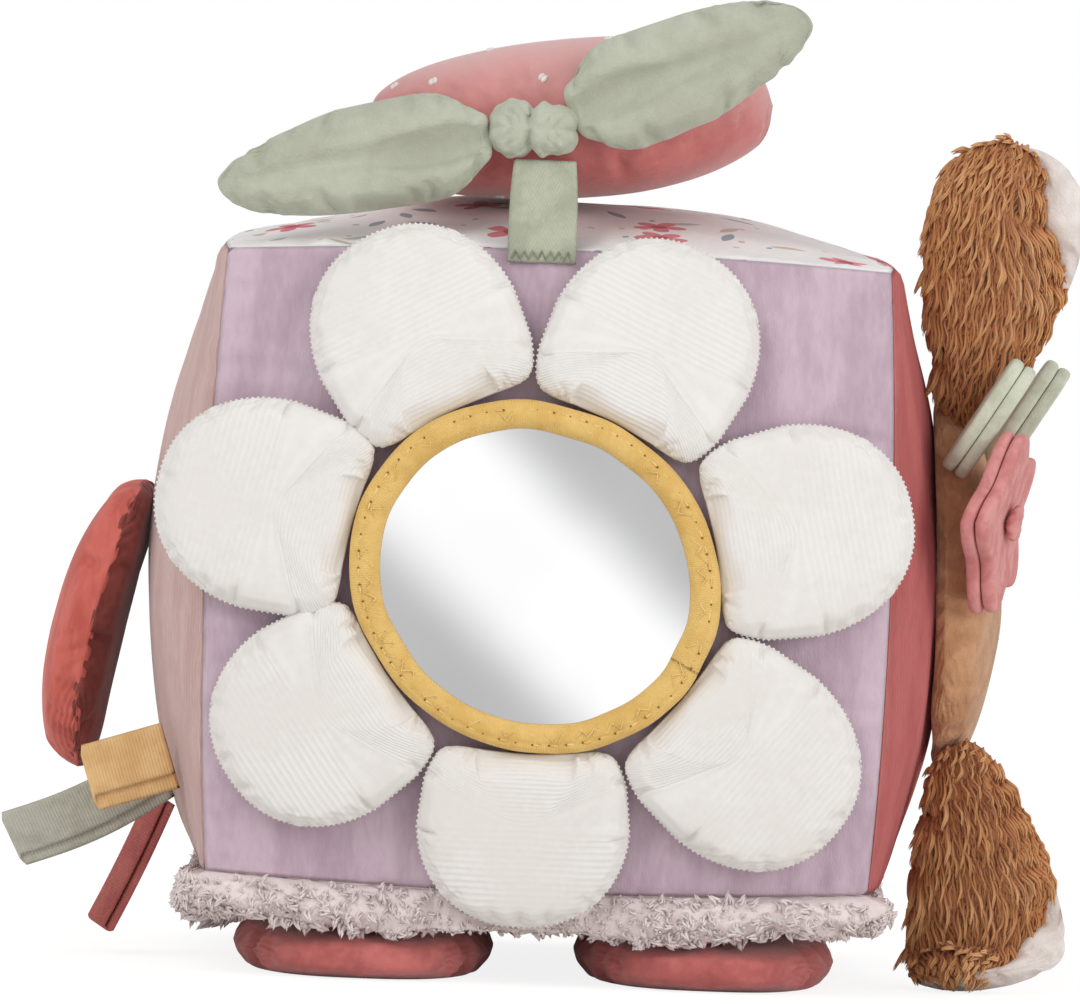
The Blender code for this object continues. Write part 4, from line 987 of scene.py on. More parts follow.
def ear_spot(along, across, over, straight):
    """Place on an ear that bends after its straight part."""
    past = np.maximum(0, along - straight)
    bend = np.minimum(math.pi / 2, past / EAR_FOLD)
    rest = past - bend * EAR_FOLD
    y = EAR_FOLD * (np.cos(bend) - 1) - rest * np.sin(bend)
    z = np.minimum(along, straight) + EAR_FOLD * np.sin(bend) + rest * np.cos(bend)
    return np.stack((across, y - over * np.cos(bend), z - over * np.sin(bend)), -1)


def ear_rule(straight, side, thickness, bare_side):
    """side is 1 for the fur and -1 for the lining, which shows past the fur on its bare side."""

    def rule(turn, share, lift):
        along = np.cos(turn) * share
        beside = np.clip(bare_side * np.sin(turn) * share + 0.25, 0, 1)
        bare = BARE_SHARE * beside * np.clip((along + 0.1) / 0.5, 0, 1)
        inset = bare if side > 0 else 0
        across = EAR_WIDTH / 2 * (np.sin(turn) * share - bare_side * inset) * (1 + 0.3 * along)
        length = EAR_LENGTH * ((1 + along) / 2 + 0.06 * (1 - along**2))
        over = side * (SEAM_GAP / 2 + thickness * np.maximum(0, lift))
        if side < 0:
            past = np.clip((bare / BARE_SHARE - 0.55) / 0.3, 0, 1)
            over = over + BARE_PUFF * past * np.maximum(0, -lift) * 2
        return ear_spot(length, across, over, straight)

    return rule


def lobe_rule(sign):
    """A lobe: flat below, pressed by the block above."""
    def rule(turn, share, lift):
        x = sign * LOBE_X + LOBE_HALF_WIDTH * power(np.cos(turn), 0.75) * share
        y = LOBE_Y + LOBE_HALF_DEPTH * power(np.sin(turn), 0.75) * share
        z = np.maximum(LOBE_FLAT, LOBE_HALF_HEIGHT * (1 + lift)) - LOBE_FLAT
        return np.stack((x, y, np.minimum(z, underside(x, y) - SOFT_GAP)), -1)

    return rule


pad("rabbit_head", head_rule, Matrix(), 30, 0.7, (2 * HEAD_HALF_HEIGHT, 2 * HEAD_HALF_DEPTH))
ear_frames = {}
for ear, up in (("upper_ear", 1), ("lower_ear", -1)):
    crown = HEAD_HALF_HEIGHT * math.sqrt(1 - (1 - EAR_FROM_CROWN / HEAD_HALF_DEPTH) ** 2)
    y, z = HEAD_Y - HEAD_HALF_DEPTH + EAR_FROM_CROWN, MIDDLE + up * (crown - 1 * MM)
    x = float(side_reach(np.array(y), np.array(z))) + SOFT_GAP + HEAD_EDGE + 5 * MM
    lean = EAR_LEAN if up > 0 else math.pi - EAR_LEAN
    turned = Matrix.Rotation(lean, 4, "Y") @ Matrix.Rotation(-up * EAR_TURN, 4, "Z")
    ear_frames[ear] = Matrix.Translation((x, y, z)) @ turned
    straight = EAR_LENGTH if up > 0 else z - EAR_LINING - 0.6 * MM - EAR_FOLD
    for layer, side, thickness in (("_fur", 1, EAR_FUR), ("_lining", -1, EAR_LINING)):
        rule = ear_rule(straight, side, thickness, up)
        pad(ear + layer, rule, ear_frames[ear], 28, 0.75, (EAR_WIDTH, EAR_LENGTH))
for lobe, sign in (("left_lobe", -1), ("right_lobe", 1)):
    pad(lobe, lobe_rule(sign), Matrix(), 28, 0.3, (2 * LOBE_HALF_WIDTH, 2 * LOBE_HALF_DEPTH))
print("pads", len(pads), "points", sum(2 * p["front"].size // 3 for p in pads.values()))

# %% [markdown]
# ## Stuffing by simulation
# Blender's Cloth blows all the pads up together. Each starts a little flatter than it should be,
# its cloth is cut a little larger than its space, and pressure fills it, so it grows round in the
# middle and gathers small folds at its seam, as stuffed cloth does. The seams are held, as the
# sewing holds them, so each outline stays as it was cut. Cloth works best on shapes of
# a metre or so, so the pads are enlarged for the run and brought back after it. No point may move
# more than a set distance, which keeps every pad in the space of its solid.

# %% Inflate
SIM_SCALE = 40
SIM_FRAMES = 20
START_FLAT = 0.84
SPARE_CLOTH = -0.06
MOST_MOVE = 1.3 * MM


def inflate(names):
    """Runs one cloth simulation for all the named pads, and stores the shapes that it gives."""
    points, faces, starts, seams = [], [], [], []
    total = 0
    for name in names:
        p = pads[name]
        middle = (p["front"] + p["back"]) / 2
        for half in ("front", "back"):
            p[half] = middle + (p[half] - middle) * START_FLAT
        shell, shell_faces = close_shell(p["front"], p["back"])
        points.append(shell)
        faces.append(turn_outward(shell, shell_faces) + total)
        starts.append(total)
        index = np.arange(middle.size // 3).reshape(middle.shape[:2]) + total
        seams += np.concatenate((index[0], index[-1], index[1:-1, 0], index[1:-1, -1])).tolist()
        total += len(shell)
    points, faces = np.concatenate(points), np.concatenate(faces)
    mesh = bpy.data.meshes.new("stuffing")
    mesh.from_pydata((points * SIM_SCALE).tolist(), [], faces.tolist())
    body = bpy.data.objects.new("stuffing", mesh)
    bpy.context.scene.collection.objects.link(body)
    body.vertex_groups.new(name="seam").add(seams, 1.0, "REPLACE")
    run = body.modifiers.new("cloth", "CLOTH")
    run.settings.vertex_group_mass = "seam"
    run.settings.quality = 6
    run.settings.mass = 0.25
    run.settings.tension_stiffness = run.settings.compression_stiffness = 20
    run.settings.shear_stiffness = 8
    run.settings.bending_stiffness = 0.6
    run.settings.use_pressure = True
    run.settings.uniform_pressure_force = 4
    run.settings.shrink_min = SPARE_CLOTH
    run.settings.effector_weights.gravity = 0
    run.collision_settings.use_collision = False
    run.collision_settings.use_self_collision = False
    run.point_cache.frame_end = SIM_FRAMES
    for step in range(1, SIM_FRAMES + 1):
        bpy.context.scene.frame_set(step)
    result = body.evaluated_get(bpy.context.evaluated_depsgraph_get()).to_mesh()
    after = np.empty(len(points) * 3)
    result.vertices.foreach_get("co", after)
    bpy.data.objects.remove(body)
    bpy.context.scene.frame_set(1)
    step = after.reshape(-1, 3) / SIM_SCALE - points
    far = np.linalg.norm(step, axis=1, keepdims=True)
    after = points + step * np.minimum(1, MOST_MOVE / np.maximum(far, 1e-9))
    for name, start in zip(names, starts):
        p = pads[name]
        size = p["front"].shape[0] * p["front"].shape[1]
        p["front"] = after[start : start + size].reshape(p["front"].shape)
        back = p["front"].copy()
        inner = p["back"][1:-1, 1:-1]
        back[1:-1, 1:-1] = after[start + size : start + size + inner.size // 3].reshape(inner.shape)
        p["back"] = back
    print("moved mm, mean", round(float(far.mean()) * 1000, 2), "most", round(float(far.max()) * 1000, 2))


inflate(list(pads))


# %% Sew a pad
def sew(name, material, body, factor, relief=None, stands_for=None):
    """Refines a pad, adds its relief, and makes it the piece that stands for its node."""
    p = pads[name]
    steps = (p["front"].shape[0] - 1) * factor
    turn, share = disc_grid(steps)
    flat = refine(p["flat"], factor)
    halves = [refine(p["front"], factor), refine(p["back"], factor)]
    middle = (halves[0] + halves[1]) / 2
    for half, side in zip((0, 1), (1, -1)):
        grid = halves[half]
        normals = grid_normals(grid, grid - middle)
        if relief:
            height = relief(flat, turn, share, side) * (1 - share**30)
            halves[half] = grid + normals * height[..., None]
    take_rim(halves[1], halves[0])
    p["fine"] = halves
    piece = build_shell(name + "_cloth", *halves, material, flat)
    return place_piece(piece, body, stands_for or (name,))


def gathers(turn, share, radius, size, depth, seed, reach=0.14):
    """Creases that run in from the seam: bumps along the rim that fade towards the middle."""
    rim = np.stack((np.cos(turn), np.sin(turn)), -1) * radius
    at_seam = np.clip((1 - share) / 0.03, 0.25, 1)
    return depth * lumps(rim, size, seed) * np.exp(-(1 - share) / reach) * at_seam


# %% [markdown]
# ## Threads, locks and other things that repeat
# Stitches, seeds, rib ends and locks of fur are many copies of one small shape, so Geometry Nodes
# set them out. The first tree walks along a line and lays a small padded stitch at each step. The
# second scatters locks over a surface, leans each one by the comb direction stored in the surface,
# and gives each its own shade. Both end by making the copies real and giving them their material.


# %% Tools for Geometry Nodes
def new_tree(name, inputs):
    """A Geometry Nodes tree with named inputs."""
    tree = bpy.data.node_groups.new(name, "GeometryNodeTree")
    tree.interface.new_socket("Geometry", in_out="INPUT", socket_type="NodeSocketGeometry")
    for label, kind in inputs:
        tree.interface.new_socket(label, in_out="INPUT", socket_type="NodeSocket" + kind)
    tree.interface.new_socket("Geometry", in_out="OUTPUT", socket_type="NodeSocketGeometry")
    return tree, add(tree, "NodeGroupInput", out=None).outputs


def end_tree(tree, geometry, material):
    """Makes the copies real and gives them their material."""
    real = add(tree, "GeometryNodeRealizeInstances", {"Geometry": geometry})
    done = add(tree, "GeometryNodeSetMaterial", {"Geometry": real, "Material": material})
    add(tree, "NodeGroupOutput", done, out=None)


def run_tree(name, source, tree, values, body):
    """Runs a tree on a source object and keeps the result as a plain mesh on a body."""
    run = source.modifiers.new("nodes", "NODES")
    run.node_group = tree
    places = {item.name: item.identifier for item in tree.interface.items_tree if item.in_out == "INPUT"}
    for label, value in values.items():
        run[places[label]] = value
    graph = bpy.context.evaluated_depsgraph_get()
    mesh = bpy.data.meshes.new_from_object(source.evaluated_get(graph), depsgraph=graph)
    bpy.data.objects.remove(source)
    mesh.shade_smooth()
    piece = bpy.data.objects.new(name, mesh)
    bpy.context.scene.collection.objects.link(piece)
    return place_piece(piece, body)


def line_object(points, closed=False):
    """A bare line of points, for a tree to walk along."""
    mesh = bpy.data.meshes.new("line")
    edges = [(i, i + 1) for i in range(len(points) - 1)]
    if closed:
        edges.append((len(points) - 1, 0))
    mesh.from_pydata([tuple(p) for p in points], edges, [])
    made = bpy.data.objects.new("line", mesh)
    bpy.context.scene.collection.objects.link(made)
    return made


# %% Stitches along a line
stitch_tree, given = new_tree(
    "stitches_along_a_line",
    (
        ("Spacing", "Float"), ("Length", "Float"), ("Thickness", "Float"), ("Seed", "Int"),
        ("Material", "Material"),
    ),
)
curve = add(stitch_tree, "GeometryNodeMeshToCurve", {"Mesh": given["Geometry"]})
walk = add(
    stitch_tree, "GeometryNodeCurveToPoints", {"Curve": curve, "Length": given["Spacing"]}, out=None,
    mode="LENGTH",
)
ball = add(stitch_tree, "GeometryNodeMeshUVSphere", {"Segments": 6, "Rings": 5, "Radius": 0.5}, out="Mesh")
size = add(stitch_tree, "CombineXYZ", given["Thickness"], given["Thickness"], given["Length"])
facing = add(
    stitch_tree, "FunctionNodeAlignRotationToVector", {"Vector": walk.outputs["Tangent"]}, axis="Z"
)
wobble = add(
    stitch_tree, "FunctionNodeRandomValue", {"Seed": given["Seed"], 0: (-0.09,) * 3, 1: (0.09,) * 3},
    data_type="FLOAT_VECTOR",
)
facing = add(stitch_tree, "FunctionNodeRotateRotation", facing, wobble, rotation_space="LOCAL")
laid = add(
    stitch_tree, "GeometryNodeInstanceOnPoints",
    {"Points": walk.outputs["Points"], "Instance": ball, "Rotation": facing, "Scale": size},
)
end_tree(stitch_tree, laid, given["Material"])


def stitches(name, points, spacing, length, thickness, material, body, closed=False, seed=1):
    values = {
        "Spacing": spacing, "Length": length, "Thickness": thickness, "Seed": seed, "Material": material
    }
    return run_tree(name, line_object(points, closed), stitch_tree, values, body)


print("stitch nodes", len(stitch_tree.nodes))

# %% A thread along a line
thread_tree, given = new_tree("thread_along_a_line", (("Thickness", "Float"), ("Material", "Material")))
curve = add(thread_tree, "GeometryNodeMeshToCurve", {"Mesh": given["Geometry"]})
radius = add(thread_tree, "Math", given["Thickness"], 0.5, operation="MULTIPLY")
ring = add(
    thread_tree, "GeometryNodeCurvePrimitiveCircle", {"Resolution": 6, "Radius": radius}, out="Curve"
)
tube = add(
    thread_tree, "GeometryNodeCurveToMesh", {"Curve": curve, "Profile Curve": ring, "Fill Caps": True}
)
end_tree(thread_tree, tube, given["Material"])


def thread(name, points, thickness, material, body, closed=False):
    values = {"Thickness": thickness, "Material": material}
    return run_tree(name, line_object(points, closed), thread_tree, values, body)


print("thread nodes", len(thread_tree.nodes))

# %% Locks over a surface
lock_tree, given = new_tree(
    "locks_over_a_surface",
    (
        ("Gap", "Float"),
        ("Density", "Float"),
        ("Length", "Float"),
        ("Width", "Float"),
        ("Stand", "Float"),
        ("Mess", "Float"),
        ("Seed", "Int"),
        ("Lock", "Object"),
        ("Material", "Material"),
    ),
)
spread = add(
    lock_tree, "GeometryNodeDistributePointsOnFaces",
    {
        "Mesh": given["Geometry"], "Distance Min": given["Gap"], "Density Max": given["Density"],
        "Seed": given["Seed"],
    },
    out=None, distribute_method="POISSON",
)
comb = add(lock_tree, "GeometryNodeInputNamedAttribute", {"Name": "comb"}, data_type="FLOAT_VECTOR")
mess = add(
    lock_tree, "FunctionNodeRandomValue", {"Seed": given["Seed"], 0: (-1, -1, -1), 1: (1, 1, 1)},
    data_type="FLOAT_VECTOR",
)
upright = add(
    lock_tree, "VectorMath", {0: spread.outputs["Normal"], "Scale": given["Stand"]}, operation="SCALE"
)
mess = add(lock_tree, "VectorMath", {0: mess, "Scale": given["Mess"]}, operation="SCALE")
lean = add(lock_tree, "VectorMath", upright, comb, operation="ADD")
lean = add(lock_tree, "VectorMath", lean, mess, operation="ADD")
facing = add(lock_tree, "FunctionNodeAlignRotationToVector", {"Vector": lean}, axis="Z")
facing = add(
    lock_tree, "FunctionNodeAlignRotationToVector",
    {"Rotation": facing, "Vector": spread.outputs["Normal"]}, axis="X", pivot_axis="Z",
)
wide = add(lock_tree, "FunctionNodeRandomValue", {"Seed": 7, 2: 0.75, 3: 1.25}, out=1, data_type="FLOAT")
long = add(lock_tree, "FunctionNodeRandomValue", {"Seed": 8, 2: 0.7, 3: 1.2}, out=1, data_type="FLOAT")
wide = add(lock_tree, "Math", wide, given["Width"], operation="MULTIPLY")
long = add(lock_tree, "Math", long, given["Length"], operation="MULTIPLY")
grow = add(lock_tree, "GeometryNodeInputNamedAttribute", {"Name": "grow"}, data_type="FLOAT")
long = add(lock_tree, "Math", long, grow, operation="MULTIPLY")
size = add(lock_tree, "CombineXYZ", wide, wide, long)
shape = add(lock_tree, "GeometryNodeObjectInfo", {"Object": given["Lock"]}, out="Geometry")
laid = add(
    lock_tree, "GeometryNodeInstanceOnPoints",
    {"Points": spread.outputs["Points"], "Instance": shape, "Rotation": facing, "Scale": size},
)
tone = add(lock_tree, "FunctionNodeRandomValue", {"Seed": 9, 2: 0.0, 3: 1.0}, out=1, data_type="FLOAT")
laid = add(
    lock_tree, "GeometryNodeStoreNamedAttribute", {"Geometry": laid, "Name": "shade", "Value": tone},
    domain="INSTANCE",
)
end_tree(lock_tree, laid, given["Material"])


def lock_shape(name, strands, segments, spread, wave, waves, curl, girth, blunt, seed):
    """One lock: flat strands that start close together, wave alike and narrow to their tips."""
    random = np.random.default_rng(seed)
    points, faces, along = [], [], []
    for strand in range(strands):
        angle = math.tau * strand / strands + random.uniform(-0.4, 0.4)
        root = np.array((math.cos(angle), math.sin(angle))) * spread
        tip = root * random.uniform(0.2, 0.9)
        phase = random.uniform(-0.5, 0.5)
        height = random.uniform(0.75, 1.0)
        for step in range(segments + 1):
            t = step / segments
            sway = np.array((curl * t * t, wave * math.sin(math.tau * waves * t + phase)))
            middle = root * (1 - t) + tip * t + sway
            half = girth * (1 - t**blunt) + 0.015
            for corner in range(3):
                turn = angle + math.tau * corner / 3
                x, y = middle[0] + half * math.cos(turn), middle[1] + half * math.sin(turn)
                points.append((x, y, t * height))
                along.append(t)
        base = strand * (segments + 1) * 3
        for step in range(segments):
            for corner in range(3):
                a, b = base + step * 3 + corner, base + step * 3 + (corner + 1) % 3
                faces.append((a, b, b + 3, a + 3))
        faces.append((base + 2, base + 1, base))
        last = base + segments * 3
        faces.append((last, last + 1, last + 2))
    made = build(name, np.array(points), faces, brown_fur, None, {"along": np.array(along)})
    made.hide_render = True
    return made


def locks(name, surface, gap, length, width, stand, mess, lock, material, body, slot, seed):
    values = {"Gap": gap, "Density": 1.0 / gap**2, "Length": length, "Width": width, "Stand": stand}
    values.update({"Mess": mess, "Seed": seed, "Lock": lock, "Material": material})
    pile = run_tree(name, surface, lock_tree, values, body)
    places = np.empty(len(pile.data.vertices) * 3, np.float32)
    pile.data.vertices.foreach_get("co", places)
    places[2::3] = np.maximum(places[2::3], 0.3 * MM)
    pile.data.vertices.foreach_set("co", places)
    return pile


def facing_quads(grid, normals):
    """Faces of an open grid, turned to the side that its normals point to."""
    faces = quads(np.arange(grid.size // 3).reshape(grid.shape[:2]))
    middle = faces[len(faces) // 2]
    a, b, c = grid.reshape(-1, 3)[middle[:3]]
    backwards = np.dot(np.cross(b - a, c - a), normals.reshape(-1, 3)[middle[0]]) < 0
    return faces[:, ::-1] if backwards else faces


def comb_surface(points, faces, comb, grow):
    """A bare surface for locks to grow on, with each point's comb direction and share of length."""
    return build("comb_surface", points, faces, brown_fur, None, {"comb": comb, "grow": grow})


print("node trees", len(bpy.data.node_groups))

# %% [markdown]
# ## Teddy underneath
# The face under the block is teddy: thick curly pile that shows as a fluffy band along the lower
# front edge. The pile is so thick that it rolls out over its seams. So a woolly roll comes first: it
# hangs out past the edge, turns down, and is pressed in where the bottom petal and the lower ear rest
# on it. Small blunt curls then lie closely round its edge, combed over the seam as the real pile is.
# Further under, where only their outline counts, they are larger and sparser.

# %% Teddy roll and curls
TEDDY_GAP, TEDDY_LENGTH, TEDDY_WIDTH = 1.1 * MM, 2.8 * MM, 1.35 * MM
EDGE_BAND = 13 * MM
UNDER_GAP, UNDER_SIZE = 2.4 * TEDDY_GAP, 1.5
PRESSED_SHORTER = 0.7
ROLL_SPOTS = (0, 2.5 * MM, 6 * MM, 11 * MM, 17 * MM, 27 * MM)
ROLL_OUT = (0.2 * MM, 4.8 * MM, 9.8 * MM, 12.2 * MM, 10 * MM, 0.0)
ROLL_UP = (-0.2 * MM, -1.8 * MM, -4.8 * MM, -7.2 * MM, -5.5 * MM, 0.0)
COMB_SPOTS, COMB_UP = (0, 2 * MM, 5 * MM, 12 * MM), (0.9, 0.3, -0.5, -0.9)
FLOWER_PRESS = (0, Vector((-3, -75)) * MM, 25 * MM)
EAR_PRESS = (1, Vector((75, -27)) * MM, 33 * MM)
curl_lock = lock_shape("teddy_curl", 3, 3, 0.5, 0.2, 0.8, -0.3, 0.3, 4, 31)
fine = refine(bottom_grid, 3)
u = np.clip(fine[..., :2] / HALF[:2], -1, 1)
inward = HALF[:2] * (1 - np.abs(u))
edge = inward.min(-1)
aim = np.sign(u) * np.exp(-(((inward - edge[..., None]) / (5 * MM)) ** 2))
aim /= np.maximum(np.linalg.norm(aim, axis=-1, keepdims=True), 1e-9)
press = np.zeros(edge.shape)
for axis, spot, width in (FLOWER_PRESS, EAR_PRESS):
    beside = np.exp(-(((fine[..., axis] - spot[axis]) / width) ** 4))
    press = np.maximum(press, beside * (fine[..., 1 - axis] * spot[1 - axis] > 0))
roll = fine.copy()
far_out = np.interp(edge, ROLL_SPOTS, ROLL_OUT)
roll[..., :2] += aim * (far_out - np.maximum(0, far_out - edge) * press * 0.9)[..., None]
roll[..., 2] += np.interp(edge, ROLL_SPOTS, ROLL_UP) * (1 - 0.3 * press)
normal = grid_normals(roll, roll - np.array((0, 0, MIDDLE)))
wool = lumps(roll, 8 * MM, 33) * 0.5 * MM + lumps(roll, 3.6 * MM, 34) * 0.4 * MM
wool = wool + lumps(roll * (1, 1, 0.4), 1.9 * MM, 35) * 0.3 * MM
roll += normal * (wool * np.clip(edge / (1.5 * MM), 0, 1))[..., None]
take_rim(fine, roll)
base = build_shell("teddy_pile_base", roll, fine, pink_teddy)
mark_along(base, 0.5)
place_piece(base, "block")
comb = np.concatenate((aim * 0.35, np.interp(edge, COMB_SPOTS, COMB_UP)[..., None]), -1)
normal = grid_normals(roll, roll - np.array((0, 0, MIDDLE)))
comb -= normal * (comb * normal).sum(-1, keepdims=True)
faces = facing_quads(roll, normal)
grow = (1 - PRESSED_SHORTER * press).ravel()
near = edge.ravel()[faces].mean(-1) < EDGE_BAND
pile = []
for part, chosen, gap, size in (("edge", near, TEDDY_GAP, 1.0), ("under", ~near, UNDER_GAP, UNDER_SIZE)):
    surface = comb_surface(roll.reshape(-1, 3), faces[chosen], comb.reshape(-1, 3), grow)
    size = TEDDY_LENGTH * size, TEDDY_WIDTH * size
    part = locks(
        "teddy_pile_" + part, surface, gap, *size, 0.1, 0.6, curl_lock, pink_teddy, "block", "pink_teddy", 5
    )
    pile.append(part)
print("teddy faces", count(base), [count(part) for part in pile])

# %% [markdown]
# ## Mirror flower
# The mirror is a thin metal film on foam board, held by a padded cotton ring. The film bulges by
# less than a millimetre, which is enough to spread its reflection into soft bands. The ring is a
# puffed tube of cotton with a row of stitches in their needle holes and a zigzag seam beside them.
# Its section is swept round the oval by arrays, and the holes and threads are Geometry Nodes.

# %% Mirror film
FILM_RADIUS = RING_RADIUS - RING_WIDTH + 2.2 * MM
FILM_LOW, FILM_HIGH = 3.4 * MM, 3.8 * MM
FILM_DOME = 0.75 * MM
OVAL = FLOWER @ Matrix.Rotation(RING_TILT, 4, "Z") @ Matrix.Diagonal((1 + RING_OVAL, 1 - RING_OVAL, 1, 1))

turn, share = disc_grid(64)
x, y = np.cos(turn) * share * FILM_RADIUS, np.sin(turn) * share * FILM_RADIUS
dome = FILM_HIGH + FILM_DOME * (1 - share**2) - 0.02 * MM
front = np.stack((x, y, dome), -1)
back = np.stack((x, y, np.full_like(x, FILM_LOW)), -1)
film = build_shell(
    "mirror_film_sheet", moved(front, OVAL), moved(back, OVAL), silver_film, np.stack((x, y), -1)
)
place_piece(film, "block", ("mirror_film",))
print("film faces", count(film))

# %% Ring
LAP_LEVEL = 4.1 * MM
SKIRT_LEVEL = 1.0 * MM
SKIRT_INNER = RING_RADIUS - RING_WIDTH + 3.0 * MM
RING_STEPS = 360
HOLE_ROW = RING_RADIUS - 2.0 * MM
ZIGZAG_IN, ZIGZAG_OUT = RING_RADIUS - 4.6 * MM, RING_RADIUS - 2.6 * MM


def ring_level(radius):
    """Height of the ring's puffed cloth at a radius, with the shallow groove of its seam."""
    share = (radius - (RING_RADIUS - RING_WIDTH / 2)) / (RING_WIDTH / 2)
    dome = RING_PUFF * np.maximum(0, 1 - np.abs(share) ** 2.6) ** 0.62
    groove = 0.35 * MM * np.exp(-(((radius - HOLE_ROW) / (0.5 * MM)) ** 2))
    return LAP_LEVEL + dome - groove


arch = RING_RADIUS - RING_WIDTH / 2 - RING_WIDTH / 2 * np.cos(np.linspace(0, math.pi, 25))
section = [(r, float(ring_level(r))) for r in arch]
section += [(RING_RADIUS, SKIRT_LEVEL), (SKIRT_INNER, SKIRT_LEVEL), (SKIRT_INNER, LAP_LEVEL)]
section = np.array(section)
angles = np.arange(RING_STEPS) * math.tau / RING_STEPS
radius = np.repeat(section[None, :, 0], RING_STEPS, 0)
level = np.repeat(section[None, :, 1], RING_STEPS, 0)
around = np.stack((np.cos(angles), np.sin(angles)), -1) * RING_RADIUS
around = around[:, None] * np.ones_like(radius)[..., None]
on_top = np.clip((level - LAP_LEVEL) / RING_PUFF, 0, 1)
level = level + on_top * 0.28 * MM * lumps(around, 3.4 * MM, 41)
radius = radius + on_top * 0.1 * MM * lumps(around, 5 * MM, 42) + 0.22 * MM * lumps(around, 9 * MM, 43)
ring_points = np.stack((radius * np.cos(angles)[:, None], radius * np.sin(angles)[:, None], level), -1)
index = np.arange(ring_points.size // 3).reshape(radius.shape)
index = np.concatenate((index, index[:1]), 0)
index = np.concatenate((index, index[:, :1]), 1)
flat = np.stack(np.broadcast_arrays(section[None, :, 0], angles[:, None] * RING_RADIUS), -1)
points = moved(ring_points, OVAL).reshape(-1, 3)
faces = turn_outward(points, quads(index))
ring = build("mirror_ring_cloth", points, faces, mustard_cotton, flat.reshape(-1, 2))
place_piece(ring, "block", ("mirror_ring",))
print("ring mm across", round(2000 * RING_RADIUS, 1), "faces", count(ring))

# %% Ring seam
def on_ring(radii, turns, rise):
    """Points on the ring's cloth at those radii and turns, raised by a little."""
    levels = ring_level(np.asarray(radii)) + rise
    flat = np.stack((radii * np.cos(turns), radii * np.sin(turns), levels), -1)
    return moved(flat, OVAL)


ZIGZAG_STEP = 1.85 * MM
zigzags = int(math.tau * ZIGZAG_OUT / ZIGZAG_STEP) // 2 * 2
shake = np.random.default_rng(45).uniform(-1, 1, (2, zigzags))
turns = (np.arange(zigzags) + 0.3 * shake[0]) * math.tau / zigzags
radii = np.where(np.arange(zigzags) % 2 == 0, ZIGZAG_IN, ZIGZAG_OUT) + 0.45 * MM * shake[1]
seam = thread(
    "ring_zigzag_thread", on_ring(radii, turns, 0.05 * MM), 0.36 * MM, mustard_thread, "block",
    True,
)
turns = np.linspace(0, math.tau, 400, endpoint=False)
# Painted shade: dark stitch shapes stand for the shade inside the needle holes.
holes = stitches(
    "ring_needle_holes", on_ring(np.full(400, HOLE_ROW), turns, 0.1 * MM), 3.7 * MM, 0.55 * MM, 0.5 * MM,
    needle_hole, "block", True,
)
rows = stitches(
    "ring_outer_stitches", on_ring(np.full(400, HOLE_ROW), turns + 0.024, 0.05 * MM), 3.7 * MM, 2.3 * MM,
    0.42 * MM, mustard_thread, "block", True,
)
print("ring faces", count(ring, seam, holes, rows))

# %% [markdown]
# ## Petals
# Seven padded petals of white rib knit are caught under the ring. Each was cut across the ribs,
# so its ribs run square to its length, and at the side seams each rib ends in a tiny bump. The
# stuffed pad gives the body of the petal. Soft creases fan out from the ring, because the cloth
# is gathered there, and Geometry Nodes lay the rib ends along the rim.


# %% Petals
def petal_relief(seed):
    def relief(flat, turn, share, side):
        along = flat[..., 1] / PETAL_LENGTH
        root = np.clip(-along * 2.4 - 0.3, 0, 1)
        fan = lumps(flat * (1, 0.12), 5 * MM, seed) * 0.2 * MM * root * (1 - share**6)
        puff = lumps(flat, 18 * MM, seed + 1) * 0.22 * MM * (1 - share**4)
        return fan + puff + gathers(turn, share, 22 * MM, 4 * MM, 0.14 * MM, seed + 2, 0.07)

    return relief


def rim_of(name, first, last, steps=300):
    """Points along a pad's finished rim between two turns, for seams to follow."""
    grid = pads[name]["fine"][0]
    top, side, low, other = grid[-1, :], grid[::-1, -1], grid[0, ::-1], grid[:, 0]
    loop = np.concatenate((top[:-1], side[:-1], low[:-1], other[:-1]))
    spots = np.linspace(first, last, steps) % 1 * len(loop)
    start = spots.astype(int)
    share = (spots - start)[:, None]
    return loop[start % len(loop)] * (1 - share) + loop[(start + 1) % len(loop)] * share


petal_faces = 0
for number, side in enumerate(PETALS):
    name = "petal_" + side
    petal = sew(name, white_rib, name, 4, petal_relief(60 + 5 * number))
    ends = stitches(
        name + "_rib_ends", rim_of(name, -0.25, 0.5), PETAL_RIB, 0.62 * MM, 0.62 * MM, white_rib, name,
        False, number,
    )
    petal_faces += count(petal, ends)
print("petal faces", petal_faces)

# %% [markdown]
# ## Strap, strawberry and bow
# The strawberry lies on the block and hangs on a short strap of brushed tape, which is sewn over
# the top front seam with a zigzag. Its body is a stuffed velour pad with creases where the cloth
# is gathered, and white embroidered seeds. The bow is two lightly stuffed leaves, creased along
# their length, and a knot that gathers them. The creases near the knot are deep and run out along
# each leaf, so their height depends on the flat cloth: across it they wave, along it they fade.


# %% Strap
def strip(u_steps, v_steps):
    """Shares across, -1 to 1, and along, 0 to 1, of a tape."""
    return np.meshgrid(np.linspace(-1, 1, u_steps + 1), np.linspace(0, 1, v_steps + 1), indexing="ij")


